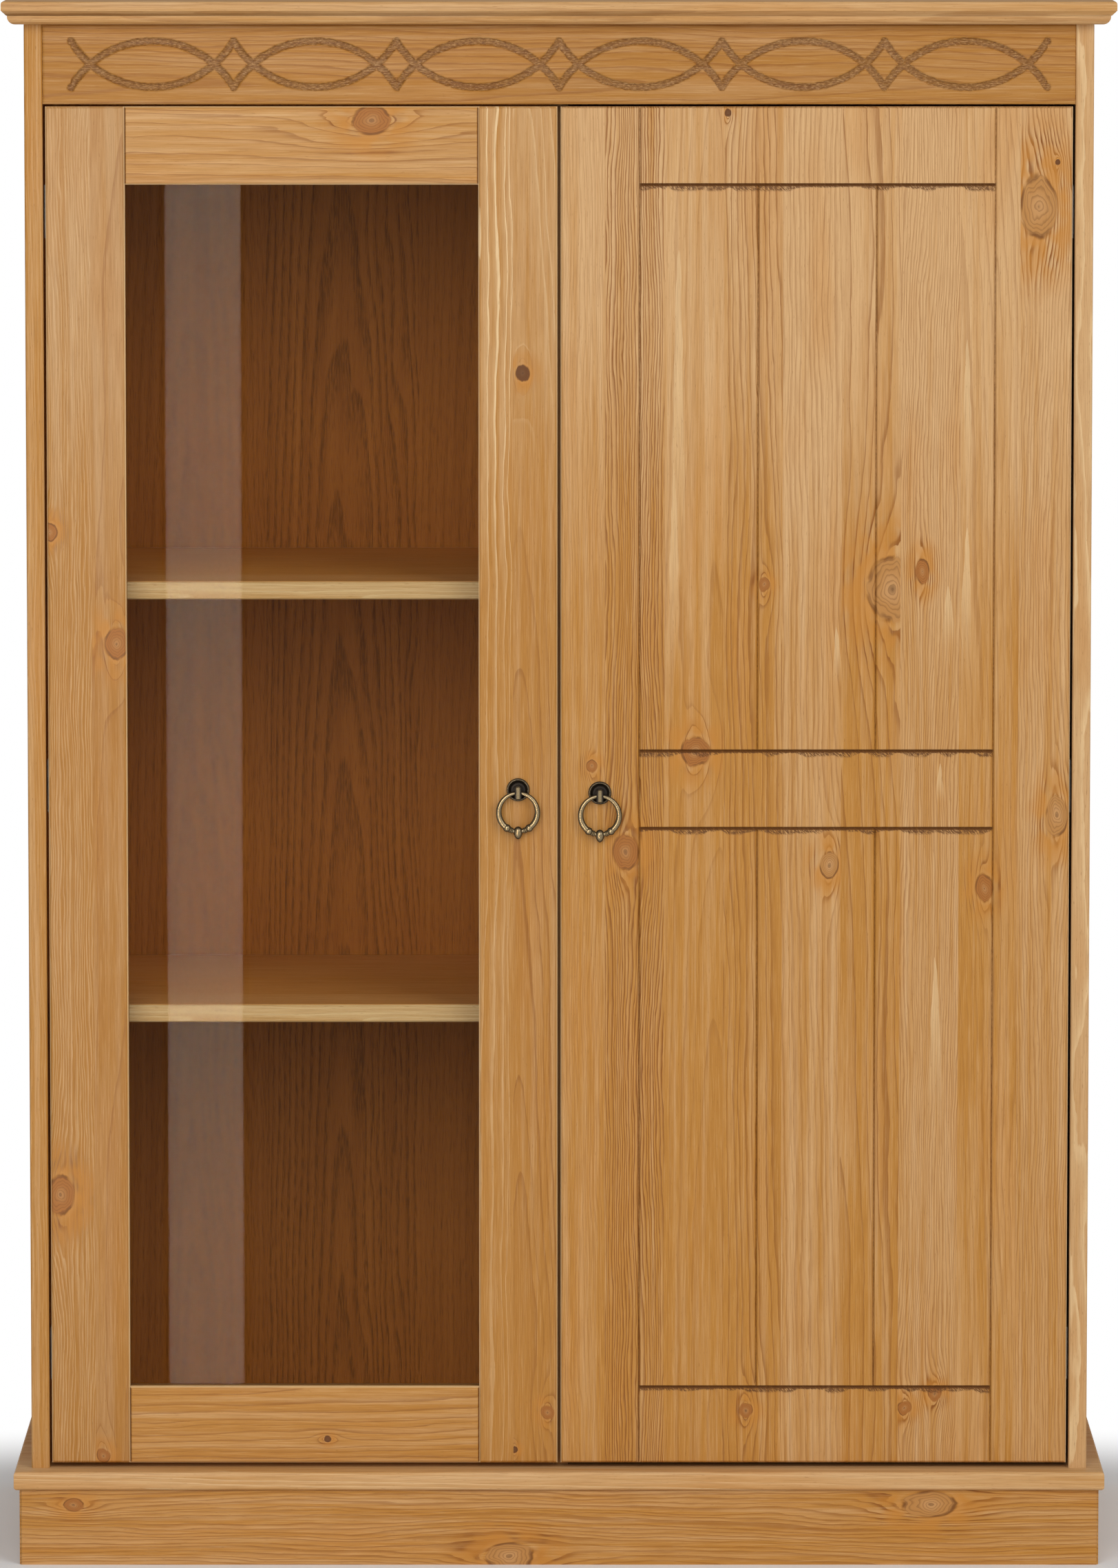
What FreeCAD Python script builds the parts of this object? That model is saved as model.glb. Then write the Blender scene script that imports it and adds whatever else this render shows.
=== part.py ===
"""A two-door highboard in solid pine: a glazed door on the left, a grooved solid door on the right.

The frame: the front looks along -Y, +X is to the right, +Z is up. The origin lies on the floor, in
the middle of the outline. Every size below is in millimetres.
"""

import FreeCAD, Part
import math
import os
from types import SimpleNamespace

from FreeCAD import Placement, Rotation, Vector

# Driving dimensions: alias in the sheet, value, meaning.
SIZES = [
    ("body_width", 1000, "over the outer faces of the two sides"),
    ("body_depth", 378, "front edge of a side to its back edge"),
    ("side_height", 1368, "height of the sides and of the partition"),
    ("side_thick", 17, "thickness of the sides and of the partition"),
    ("arris", 1.2, "chamfer on the visible arrises of the carcass"),
    ("crown_side_over", 20, "crown past each side"),
    ("crown_front_over", 22, "crown past the front edges of the sides"),
    ("crown_nosing", 13.5, "height of the crown's upper member"),
    ("crown_cove", 8.5, "height of the crown's lower member"),
    ("crown_step", 5.5, "lower member set back under the upper one"),
    ("nosing_round", 3, "round on the crown's top arris"),
    ("nosing_bevel", 4.8, "bevel under the crown's upper member"),
    ("cove_round", 7.5, "quarter round of the crown's lower member"),
    ("base_thick", 18, "thickness of the base board"),
    ("base_side_over", 16, "base board past each side"),
    ("base_front_over", 20, "base board past the front edges of the sides"),
    ("base_round", 3.5, "round on the base board's arrises"),
    ("plinth_height", 72, "floor to the base board"),
    ("plinth_thick", 17, "thickness of the plinth boards"),
    ("plinth_inset", 5, "plinth set back under the base board"),
    ("plinth_ease", 2.2, "chamfer on the plinth's two front corners"),
    ("block_side", 28, "square section of the plinth's corner blocks"),
    ("block_lift", 1.5, "corner blocks clear of the floor"),
    ("frieze_height", 75, "height of the carved frieze board"),
    ("frieze_thick", 18, "thickness of the frieze board"),
    ("carving_pitch", 152, "length of one arc of the carving"),
    ("carving_count", 6, "arcs along the frieze"),
    ("carving_rise", 43, "height of an arc along the middle of its groove"),
    ("carving_nose", 4, "radius of the round-nosed cutter"),
    ("carving_depth", 2.2, "depth of the carved groove"),
    ("back_thick", 5, "thickness of the back panels"),
    ("back_lap", 9, "back panel lapped into a side"),
    ("back_gap", 1, "play around and between the back panels"),
    ("nail_radius", 0.8, "radius of a back panel nail"),
    ("nail_length", 18, "length of a back panel nail"),
    ("nail_inset", 40, "first nail from the panel's end"),
    ("nail_rows", 4, "nails along each upright"),
    ("shelf_thick", 17, "thickness of a shelf"),
    ("shelf_set_back", 40, "shelf behind the front edges of the sides"),
    ("shelf_play", 0.75, "play at each end of a shelf"),
    ("upper_shelf", 841, "base board to the top of the upper shelf"),
    ("lower_shelf", 438, "base board to the top of the lower shelf"),
    ("shelf_pin_radius", 2.5, "radius of a shelf pin"),
    ("shelf_pin_length", 16, "length of a shelf pin, half of it in its hole"),
    ("shelf_pin_inset", 42, "shelf pin from the shelf's front or back edge"),
    ("dowel_radius", 4, "radius of every dowel"),
    ("dowel_play", 0.05, "radial play of a dowel, pin, nail or screw in its hole"),
    ("dowel_end_play", 0.5, "play past each end of a dowel"),
    ("dowel_in_board", 11, "carcass dowel in the crown, the base board or a side"),
    ("dowel_in_end", 24, "carcass dowel in the end of a board"),
    ("dowel_inset", 45, "outer carcass dowel from the edge of a board"),
    ("frieze_dowel_inset", 20, "frieze dowel from the frieze's top or bottom edge"),
    ("door_thick", 18, "thickness of the doors"),
    ("door_side_gap", 2.5, "gap between a door and its side"),
    ("door_top_gap", 2, "gap between a door and the frieze"),
    ("door_bottom_gap", 5, "gap between a door and the base board"),
    ("door_middle_gap", 3, "gap between the two doors"),
    ("door_back_gap", 1.5, "gap between a door and the partition"),
    ("door_ease", 1.8, "chamfer on the front arrises of the doors"),
    ("stile_width", 74, "width of a stile of the glazed door"),
    ("rail_height", 73, "height of a rail of the glazed door"),
    ("glass_thick", 4, "thickness of the pane"),
    ("glass_play", 1, "play around the pane"),
    ("rebate_width", 10, "rebate for the pane around the window"),
    ("rebate_lip", 7, "wood left in front of the pane"),
    ("rail_dowel_half", 28, "half length of a rail dowel"),
    ("rail_dowel_inset", 18, "outer rail dowel from the door's end"),
    ("rail_dowel_step", 27, "between the two dowels of a rail joint"),
    ("groove_width", 3.2, "width of the solid door's V-grooves"),
    ("groove_free_edge", 74, "upright groove from the door's free edge"),
    ("groove_hinge_edge", 72, "upright groove from the door's hinge edge"),
    ("groove_end", 73, "level groove from the door's top or bottom"),
    ("groove_belt", 73.4, "between the two level grooves at half height"),
    ("groove_fields", 3, "fields between the two outer upright grooves"),
    ("hinge_inset", 100, "outer hinges from the door's top and bottom"),
    ("hinge_pin_inset", 13.5, "hinge pin from the door's hinge edge"),
    ("hinge_pin_depth", 9.5, "hinge pin from the door's front face"),
    ("hinge_pin_radius", 2, "radius of a hinge pin"),
    ("hinge_run", 0.05, "running fit on a hinge pin"),
    ("cup_inset", 22.5, "hinge cup's middle from the door's hinge edge"),
    ("cup_radius", 17.5, "radius of a hinge cup"),
    ("cup_depth", 13, "depth of a hinge cup"),
    ("cup_wall", 1.2, "wall of a hinge cup"),
    ("cup_floor", 0.8, "floor of a hinge cup"),
    ("cup_play", 0.1, "play of a hinge cup in its bore"),
    ("flange_radius", 19.5, "radius of the flange on a hinge cup"),
    ("flange_thick", 1.2, "thickness of the flange on a hinge cup"),
    ("flange_ear", 31, "half height of the flange with its two ears"),
    ("flange_ear_width", 12, "width of the flange's ears"),
    ("lug_thick", 3, "thickness of the lugs that hold a hinge pin"),
    ("lug_side", 6.4, "square section of a lug"),
    ("arm_width", 15, "width of a hinge arm"),
    ("arm_thick", 2.5, "thickness of a hinge arm"),
    ("arm_eye", 3.2, "outer radius of the eye on a hinge arm"),
    ("arm_clear", 2.3, "arm past the flange of the open door"),
    ("arm_swing_clear", 0.45, "arm behind the swing of the door's back corner"),
    ("arm_length", 45, "hinge arm along the side"),
    ("arm_side_play", 0.5, "play between an arm and the lugs"),
    ("plate_thick", 2, "thickness of a hinge plate"),
    ("plate_start", 4, "front of a hinge plate behind the front of its arm"),
    ("plate_length", 46, "length of a hinge plate"),
    ("plate_wing", 25, "half height of a hinge plate's wings"),
    ("plate_wing_width", 14, "width of a hinge plate's wings"),
    ("plate_screw", 18, "plate screw above or below the hinge's middle"),
    ("screw_radius", 1.6, "radius of a screw's shank"),
    ("screw_length", 12, "length of a screw under its head"),
    ("screw_head", 3.2, "radius of a screw's head"),
    ("screw_head_thick", 1.6, "thickness of a screw's head"),
    ("ear_screw", 25, "flange screw above or below the hinge's middle"),
    ("catch_width", 13, "magnetic catch across the front"),
    ("catch_depth", 16, "magnetic catch from front to back"),
    ("catch_height", 44, "height of a magnetic catch"),
    ("catch_drop", 60, "middle of a catch below the top of the doors"),
    ("strike_thick", 1.2, "thickness of a strike plate"),
    ("strike_height", 36, "height of a strike plate"),
    ("strike_gap", 0.3, "gap between a catch and its strike plate"),
    ("pull_inset", 37, "ring pull from the door's free edge"),
    ("left_pull_rise", 643, "left ring pull above the bottom of its door"),
    ("right_pull_rise", 640, "right ring pull above the bottom of its door"),
    ("rosette_radius", 10.8, "radius of a rosette"),
    ("rosette_plate", 1.6, "thickness of a rosette's plate"),
    ("rosette_bead", 1.2, "half thickness of the bead round a rosette"),
    ("rosette_step_radius", 7, "radius of the step on a rosette"),
    ("rosette_step", 2.6, "height of the step on a rosette"),
    ("rosette_boss_radius", 4.8, "radius of the boss on a rosette"),
    ("rosette_boss", 3.4, "height of the boss on a rosette"),
    ("knuckle_width", 6.5, "width of the knuckle that holds a ring"),
    ("knuckle_height", 11.7, "height of the knuckle"),
    ("knuckle_front", 3.6, "knuckle in front of the ring's pivot"),
    ("knuckle_ease", 0.6, "chamfer on the knuckle's front arrises"),
    ("pivot_out", 6.5, "ring's pivot in front of the door"),
    ("pivot_drop", 2.3, "ring's pivot below the rosette's middle"),
    ("pivot_play", 0.65, "play of a ring in its knuckle"),
    ("shank_radius", 2, "radius of the knuckle's threaded shank"),
    ("nut_radius", 4, "hexagonal nut across corners, halved"),
    ("nut_thick", 3, "thickness of the nut"),
    ("thread_past_nut", 2, "shank past its nut"),
    ("ring_radius", 18.4, "radius of a ring along the middle of its wire"),
    ("ring_wire", 1.9, "radius of a ring's wire"),
    ("bead_radius", 3.3, "radius of the two beads on a ring"),
    ("bead_angle", 35, "bead from the bottom of its ring, degrees"),
    ("drop_half_height", 6.2, "half height of the drop under a ring"),
    ("drop_radius", 3.3, "radius of the drop under a ring"),
    ("drop_low", 1.4, "drop's middle below the ring's wire"),
]

doc = FreeCAD.newDocument("Highboard")
sheet = doc.addObject("Spreadsheet::Sheet", "Sizes")


class Size:
    """A value of the sheet, or a sum of such values, as text for an expression and as a number."""

    def __init__(self, text, value):
        self.text = text
        self.value = value

    def __add__(self, other):
        return Size("(%s + %s)" % (self.text, text_of(other)), self.value + number_of(other))

    def __sub__(self, other):
        return Size("(%s - %s)" % (self.text, text_of(other)), self.value - number_of(other))

    def __mul__(self, factor):
        return Size("(%s * %s)" % (self.text, text_of(factor)), self.value * number_of(factor))

    def __truediv__(self, divisor):
        return Size("(%s / %s)" % (self.text, text_of(divisor)), self.value / number_of(divisor))

    def __neg__(self):
        return Size("(0 - %s)" % self.text, -self.value)


def text_of(value):
    return value.text if isinstance(value, Size) else repr(value)


def number_of(value):
    return value.value if isinstance(value, Size) else value


def hypotenuse(one, other):
    text = "sqrt(%s ^ 2 + %s ^ 2)" % (one.text, other.text)
    return Size(text, math.hypot(one.value, other.value))


def fill_sheet():
    """Write the driving dimensions into the sheet and return them by name."""
    sizes = {}
    for row, (alias, value, meaning) in enumerate(SIZES, start=1):
        sheet.set("A%d" % row, alias)
        sheet.set("B%d" % row, str(value))
        sheet.setAlias("B%d" % row, alias)
        sheet.set("C%d" % row, meaning)
        sizes[alias] = Size("Sizes." + alias, value)
    doc.recompute()
    return SimpleNamespace(**sizes)


s = fill_sheet()

# Planes that several pieces share.
BACK = (s.body_depth + s.crown_front_over) / 2
FRONT = BACK - s.body_depth
OUTER = s.body_width / 2
INNER = OUTER - s.side_thick
MIDDLE = s.side_thick / 2
FLOOR = s.plinth_height + s.base_thick
TOP = FLOOR + s.side_height
CROWN_TOP = TOP + s.crown_nosing + s.crown_cove
FRIEZE_BOTTOM = TOP - s.frieze_height
PANEL_FRONT = BACK - s.back_thick
DOOR_BACK = FRONT + s.door_thick
DOOR_LOW = FLOOR + s.door_bottom_gap
DOOR_HIGH = FRIEZE_BOTTOM - s.door_top_gap
DOOR_HINGE_X = INNER - s.door_side_gap
DOOR_FREE_X = s.door_middle_gap / 2
PARTITION_FRONT = DOOR_BACK + s.door_back_gap
SHELF_FRONT = FRONT + s.shelf_set_back
SHELF_BACK = PANEL_FRONT - s.back_gap
PIN_X = DOOR_HINGE_X - s.hinge_pin_inset
PIN_Y = FRONT + s.hinge_pin_depth
CUP_X = DOOR_HINGE_X - s.cup_inset
PIN_HALF = s.arm_width / 2 + s.arm_side_play + s.lug_thick
HINGE_LEVELS = (DOOR_LOW + s.hinge_inset, (DOOR_LOW + DOOR_HIGH) / 2, DOOR_HIGH - s.hinge_inset)
SHELF_TOPS = {"upper": FLOOR + s.upper_shelf, "lower": FLOOR + s.lower_shelf}
PULL_X = DOOR_FREE_X + s.pull_inset

WAYS = {
    "+x": Vector(1, 0, 0), "-x": Vector(-1, 0, 0),
    "+y": Vector(0, 1, 0), "-y": Vector(0, -1, 0),
    "+z": Vector(0, 0, 1), "-z": Vector(0, 0, -1),
}
AXES = "xyz"
TOLERANCE = 1e-6
# A seam turned this far lies clear of the plane of a ring's wire, where it would spoil the joining.
OUT_OF_PLANE = 90
nodes = []


def node(piece):
    """Mark a piece as a sub-part of the highboard."""
    piece.Label = piece.Name
    nodes.append(piece)
    return piece


def bind(piece, **sizes):
    for name, value in sizes.items():
        piece.setExpression(name, text_of(value))


def place(piece, at, rotation=None):
    if rotation is not None:
        piece.Placement = Placement(Vector(), rotation)
    for axis, value in zip(AXES, at):
        piece.setExpression("Placement.Base." + axis, text_of(value))


def towards(way):
    """The turn that points a cylinder's axis one way."""
    return Rotation(WAYS["+z"], WAYS[way])


def span(box, low, high):
    """Stretch a box from its low corner to its high corner."""
    bind(box, Length=high[0] - low[0], Width=high[1] - low[1], Height=high[2] - low[2])
    place(box, low)


def board(name, low, high):
    """A board as a body of its own."""
    body = doc.addObject("PartDesign::Body", name)
    span(body.newObject("PartDesign::AdditiveBox", name + "_stock"), low, high)
    return node(body)


def trim(body, low, high):
    """Take a box out of a board."""
    span(body.newObject("PartDesign::SubtractiveBox", body.Name + "_cut"), low, high)


def drill(body, radius, depth, at, way):
    """Drill a hole into a board from a point on its face."""
    hole = body.newObject("PartDesign::SubtractiveCylinder", body.Name + "_hole")
    bind(hole, Radius=radius, Height=depth)
    place(hole, at, towards(way))


def edges_of(shape, faces, along=AXES):
    """Names of the straight edges in the given outer faces of a shape, such as "-y", and along some axes."""
    outline = shape.BoundBox
    limits = {
        "-x": outline.XMin, "+x": outline.XMax, "-y": outline.YMin,
        "+y": outline.YMax, "-z": outline.ZMin, "+z": outline.ZMax,
    }
    names = []
    for index, edge in enumerate(shape.Edges, start=1):
        ends = [vertex.Point for vertex in edge.Vertexes]
        run = ends[-1] - ends[0]
        direction = max(AXES, key=lambda axis: abs(getattr(run, axis)))
        on_faces = all(
            all(abs(getattr(end, face[1]) - limits[face]) < TOLERANCE for end in ends) for face in faces
        )
        if on_faces and direction in along:
            names.append("Edge%d" % index)
    return names


def dress(body, kind, size, *edge_sets):
    """Chamfer or fillet the edges that each set of outer faces and axes picks from a board."""
    doc.recompute()
    last = body.Tip
    names = []
    for faces, along in edge_sets:
        names += [name for name in edges_of(last.Shape, faces, along) if name not in names]
    feature = body.newObject("PartDesign::" + kind, body.Name + "_" + kind.lower())
    feature.Base = (last, names)
    bind(feature, **{"Radius" if kind == "Fillet" else "Size": size})


def box(low, high, name="block"):
    piece = doc.addObject("Part::Box", name)
    span(piece, low, high)
    return piece


def rod(radius, length, at, way, name="rod", seam=0):
    """A cylinder that goes one way from a point, its seam turned by some degrees."""
    piece = doc.addObject("Part::Cylinder", name)
    bind(piece, Radius=radius, Height=length)
    place(piece, at, towards(way) * Rotation(WAYS["+z"], seam))
    return piece


def ball(radius, at, seam=0):
    """A sphere about a point, its seam turned by some degrees."""
    piece = doc.addObject("Part::Sphere", "ball")
    bind(piece, Radius=radius)
    place(piece, at, Rotation(WAYS["+z"], seam))
    return piece


def fuse(pieces, name="joined"):
    piece = doc.addObject("Part::MultiFuse", name)
    piece.Shapes = pieces
    piece.Refine = True
    return piece


def cut(base, tool, name="cut"):
    piece = doc.addObject("Part::Cut", name)
    piece.Base = base
    piece.Tool = tool
    return piece


def group(name, pieces):
    """Equal small pieces as one sub-part of separate solids."""
    piece = doc.addObject("Part::Compound", name)
    piece.Links = pieces
    return node(piece)


def mirror(name, source):
    """The right-hand twin of a left-hand sub-part."""
    piece = doc.addObject("Part::Mirroring", name)
    piece.Source = source
    piece.Normal = WAYS["+x"]
    return node(piece)


def screw(at, way):
    """A pan-head screw whose head rests at a point and whose shank goes one way from there."""
    back_way = way.translate(str.maketrans("+-", "-+"))
    head = rod(s.screw_head, s.screw_head_thick, at, back_way)
    shank = rod(s.screw_radius, s.screw_length, at, way)
    return fuse([head, shank], "screw")


def make_crown():
    """The top board, moulded along its front and both ends, and flush at the back."""
    crown_front = FRONT - s.crown_front_over
    crown_end = OUTER + s.crown_side_over
    nosing_low = TOP + s.crown_cove
    crown = board("top_board", (-crown_end, crown_front, nosing_low), (crown_end, BACK, CROWN_TOP))
    dress(crown, "Fillet", s.nosing_round, (("-y", "+z"), "x"), (("-x", "+z"), "y"), (("+x", "+z"), "y"))
    dress(crown, "Chamfer", s.nosing_bevel, (("-y", "-z"), "x"), (("-x", "-z"), "y"), (("+x", "-z"), "y"))
    cove_end = crown_end - s.crown_step
    cove = crown.newObject("PartDesign::AdditiveBox", "top_board_cove")
    span(cove, (-cove_end, crown_front + s.crown_step, TOP), (cove_end, BACK, nosing_low))
    doc.recompute()
    lowest = edges_of(cove.Shape, ("-z",))
    at_back = edges_of(cove.Shape, ("+y", "-z"))
    fillet = crown.newObject("PartDesign::Fillet", "top_board_ovolo")
    fillet.Base = (cove, [name for name in lowest if name not in at_back])
    bind(fillet, Radius=s.cove_round)
    return crown


def make_base():
    """The moulded base board, which is also the cabinet's floor, and the plinth under it."""
    end = OUTER + s.base_side_over
    front = FRONT - s.base_front_over
    base = board("base_board", (-end, front, s.plinth_height), (end, BACK, FLOOR))
    moulded = (("-y", "x"), ("-x", "y"), ("+x", "y"))
    rounded = [((face, level), along) for level in ("+z", "-z") for face, along in moulded]
    dress(base, "Fillet", s.base_round, *rounded)
    plinth_end = end - s.plinth_inset
    plinth_front = front + s.plinth_inset
    behind = plinth_front + s.plinth_thick
    rear = BACK - s.plinth_thick
    inside = plinth_end - s.plinth_thick
    front_board = board("plinth_front", (-plinth_end, plinth_front, 0),
                        (plinth_end, behind, s.plinth_height))
    dress(front_board, "Chamfer", s.plinth_ease, (("-y", "-x"), "z"), (("-y", "+x"), "z"))
    left = board("plinth_left", (-plinth_end, behind, 0), (-inside, BACK, s.plinth_height))
    mirror("plinth_right", left)
    board("plinth_back", (-inside, rear, 0), (inside, BACK, s.plinth_height))
    corners = []
    for x in (-inside, inside - s.block_side):
        for y in (behind, rear - s.block_side):
            corners.append(box((x, y, s.block_lift), (x + s.block_side, y + s.block_side, s.plinth_height)))
    group("plinth_corner_blocks", corners)
    return base


def make_uprights():
    """The two sides, rebated for the back, and the partition between the doors."""
    left = board("left_side", (-OUTER, FRONT, FLOOR), (-INNER, BACK, TOP))
    dress(left, "Chamfer", s.arris, (("-y", "-x"), "z"), (("-y", "+x"), "z"))
    trim(left, (-INNER - s.back_lap, PANEL_FRONT, FLOOR), (-INNER, BACK, TOP))
    partition = board("centre_partition", (-MIDDLE, PARTITION_FRONT, FLOOR), (MIDDLE, PANEL_FRONT, TOP))
    return left, partition


def dowel_rows(front):
    """Three dowels along an upright."""
    first = front + s.dowel_inset
    last = PANEL_FRONT - s.dowel_inset
    return first, (first + last) / 2, last


def make_carcass_dowels(crown, base, left, partition):
    """Dowels from the uprights into the crown and the base board."""
    middle_of_side = (OUTER + INNER) / 2
    uprights = ((left, -middle_of_side, FRONT), (partition, 0, PARTITION_FRONT),
                (None, middle_of_side, FRONT))
    hole = s.dowel_radius + s.dowel_play
    length = s.dowel_in_board + s.dowel_in_end
    dowels = []
    for upright, x, front in uprights:
        for y in dowel_rows(front):
            for host, level, out, into in ((crown, TOP, "+z", "-z"), (base, FLOOR, "-z", "+z")):
                drill(host, hole, s.dowel_in_board + s.dowel_end_play, (x, y, level), out)
                if upright is not None:
                    drill(upright, hole, s.dowel_in_end + s.dowel_end_play, (x, y, level), into)
                start = level - s.dowel_in_end if out == "+z" else level - s.dowel_in_board
                dowels.append(rod(s.dowel_radius, length, (x, y, start), "+z", "dowel"))
    group("carcass_dowels", dowels)


def make_frieze(left):
    """The carved frieze board between the sides, and the dowels that hold it."""
    stock = doc.addObject("PartDesign::Body", "frieze_stock")
    span(stock.newObject("PartDesign::AdditiveBox", "frieze_stock_box"),
         (-INNER, FRONT, FRIEZE_BOTTOM), (INNER, FRONT + s.frieze_thick, TOP))
    dress(stock, "Chamfer", s.arris, (("-y",), AXES))
    hole = s.dowel_radius + s.dowel_play
    length = s.dowel_in_board + s.dowel_in_end
    y = FRONT + s.frieze_thick / 2
    dowels = []
    for z in (FRIEZE_BOTTOM + s.frieze_dowel_inset, TOP - s.frieze_dowel_inset):
        drill(left, hole, s.dowel_in_board + s.dowel_end_play, (-INNER, y, z), "-x")
        drill(stock, hole, s.dowel_in_end + s.dowel_end_play, (-INNER, y, z), "+x")
        drill(stock, hole, s.dowel_in_end + s.dowel_end_play, (INNER, y, z), "-x")
        for start in (-INNER - s.dowel_in_board, INNER - s.dowel_in_end):
            dowels.append(rod(s.dowel_radius, length, (start, y, z), "+x", "dowel"))
    group("frieze_dowels", dowels)
    node(cut(stock, fuse(carving_cutters(), "carving"), "frieze_board"))


def carving_cutters():
    """Round-nosed arcs, one row rising and one row falling, which cross near their ends."""
    middle = FRIEZE_BOTTOM + s.frieze_height / 2
    depth_axis = FRONT - s.carving_nose + s.carving_depth
    half = s.carving_pitch / 2
    radius = (half * half + s.carving_rise * s.carving_rise) / (s.carving_rise * 2)
    half_angle = math.degrees(math.asin(half.value / radius.value))
    drop = radius - s.carving_rise / 2
    cutters = []
    for index in range(int(s.carving_count.value)):
        x = s.carving_pitch * (index + 0.5) - s.carving_pitch * s.carving_count / 2
        for start, z in ((90 - half_angle, middle - drop), (270 - half_angle, middle + drop)):
            arc = doc.addObject("Part::Torus", "carving_arc")
            bind(arc, Radius1=radius, Radius2=s.carving_nose)
            arc.Angle3 = 2 * half_angle
            place(arc, (x, depth_axis, z), Rotation(WAYS["+x"], 90) * Rotation(WAYS["+z"], start))
            cutters.append(arc)
    for index in range(int(s.carving_count.value) + 1):
        x = s.carving_pitch * index - s.carving_pitch * s.carving_count / 2
        for z in (middle - s.carving_rise / 2, middle + s.carving_rise / 2):
            cutters.append(ball(s.carving_nose, (x, depth_axis, z)))
    return cutters


def make_back(left, partition):
    """Two back panels, nailed into the rebates of the sides and onto the partition."""
    half_gap = s.back_gap / 2
    panel = board("left_back_panel", (-INNER - s.back_lap + half_gap, PANEL_FRONT, FLOOR),
                  (-half_gap, BACK, TOP))
    hole = s.nail_radius + s.dowel_play
    in_wood = s.nail_length - s.back_thick + s.dowel_end_play
    rows = int(s.nail_rows.value)
    run = s.side_height - s.nail_inset * 2
    nails = []
    for row in range(rows):
        z = FLOOR + s.nail_inset + run * (row / (rows - 1))
        side_x = INNER + s.back_lap / 2
        post_x = MIDDLE / 2
        for x in (-side_x, -post_x):
            drill(panel, hole, s.back_thick, (x, BACK, z), "-y")
        drill(left, hole, in_wood, (-side_x, PANEL_FRONT, z), "-y")
        for x in (-post_x, post_x):
            drill(partition, hole, in_wood, (x, PANEL_FRONT, z), "-y")
        for x in (-side_x, -post_x, post_x, side_x):
            nails.append(rod(s.nail_radius, s.nail_length, (x, BACK, z), "-y", "nail"))
    mirror("right_back_panel", panel)
    group("back_panel_nails", nails)


def make_shelves(left, partition):
    """Two shelves in each bay, each on four pins."""
    hole = s.shelf_pin_radius + s.dowel_play
    depth = s.shelf_pin_length / 2 + s.dowel_end_play / 2
    pins = []
    for level, top in SHELF_TOPS.items():
        shelf = board(level + "_left_shelf", (-INNER + s.shelf_play, SHELF_FRONT, top - s.shelf_thick),
                      (-MIDDLE - s.shelf_play, SHELF_BACK, top))
        dress(shelf, "Chamfer", s.arris, (("-y",), "x"))
        mirror(level + "_right_shelf", shelf)
        z = top - s.shelf_thick - s.shelf_pin_radius
        for y in (SHELF_FRONT + s.shelf_pin_inset, SHELF_BACK - s.shelf_pin_inset):
            drill(left, hole, depth, (-INNER, y, z), "-x")
            drill(partition, hole, depth, (-MIDDLE, y, z), "+x")
            drill(partition, hole, depth, (MIDDLE, y, z), "-x")
            for face in (-INNER, -MIDDLE, MIDDLE, INNER):
                pins.append(rod(s.shelf_pin_radius, s.shelf_pin_length,
                                (face - s.shelf_pin_length / 2, y, z), "+x", "shelf_pin"))
    group("shelf_pins", pins)


def make_glazed_door():
    """Stiles and rails, a pane in their rebate, and the beads behind it."""
    left_x, right_x = -DOOR_HINGE_X, -DOOR_FREE_X
    window_low = (left_x + s.stile_width, FRONT, DOOR_LOW + s.rail_height)
    window_high = (right_x - s.stile_width, DOOR_BACK, DOOR_HIGH - s.rail_height)
    hinge_stile = board("hinge_stile", (left_x, FRONT, DOOR_LOW), (window_low[0], DOOR_BACK, DOOR_HIGH))
    closing_stile = board("closing_stile", (window_high[0], FRONT, DOOR_LOW), (right_x, DOOR_BACK, DOOR_HIGH))
    top_rail = board("top_rail", (window_low[0], FRONT, window_high[2]),
                     (window_high[0], DOOR_BACK, DOOR_HIGH))
    bottom_rail = board("bottom_rail", (window_low[0], FRONT, DOOR_LOW),
                        (window_high[0], DOOR_BACK, window_low[2]))
    lip = FRONT + s.rebate_lip
    rebate_low = (window_low[0] - s.rebate_width, lip, window_low[2] - s.rebate_width)
    rebate_high = (window_high[0] + s.rebate_width, DOOR_BACK, window_high[2] + s.rebate_width)
    for member in (hinge_stile, closing_stile, top_rail, bottom_rail):
        dress(member, "Chamfer", s.door_ease, (("-y",), AXES))
        trim(member, rebate_low, rebate_high)
    join_rails(hinge_stile, closing_stile, top_rail, bottom_rail, window_low[0], window_high[0])
    bead_front = lip + s.glass_thick
    board("glass_pane", (rebate_low[0] + s.glass_play, lip, rebate_low[2] + s.glass_play),
          (rebate_high[0] - s.glass_play, bead_front, rebate_high[2] - s.glass_play))
    board("top_bead", (rebate_low[0], bead_front, window_high[2]), rebate_high)
    board("bottom_bead", (rebate_low[0], bead_front, rebate_low[2]),
          (rebate_high[0], DOOR_BACK, window_low[2]))
    board("hinge_side_bead", (rebate_low[0], bead_front, window_low[2]),
          (window_low[0], DOOR_BACK, window_high[2]))
    board("closing_side_bead", (window_high[0], bead_front, window_low[2]),
          (rebate_high[0], DOOR_BACK, window_high[2]))
    return hinge_stile, closing_stile


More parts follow.
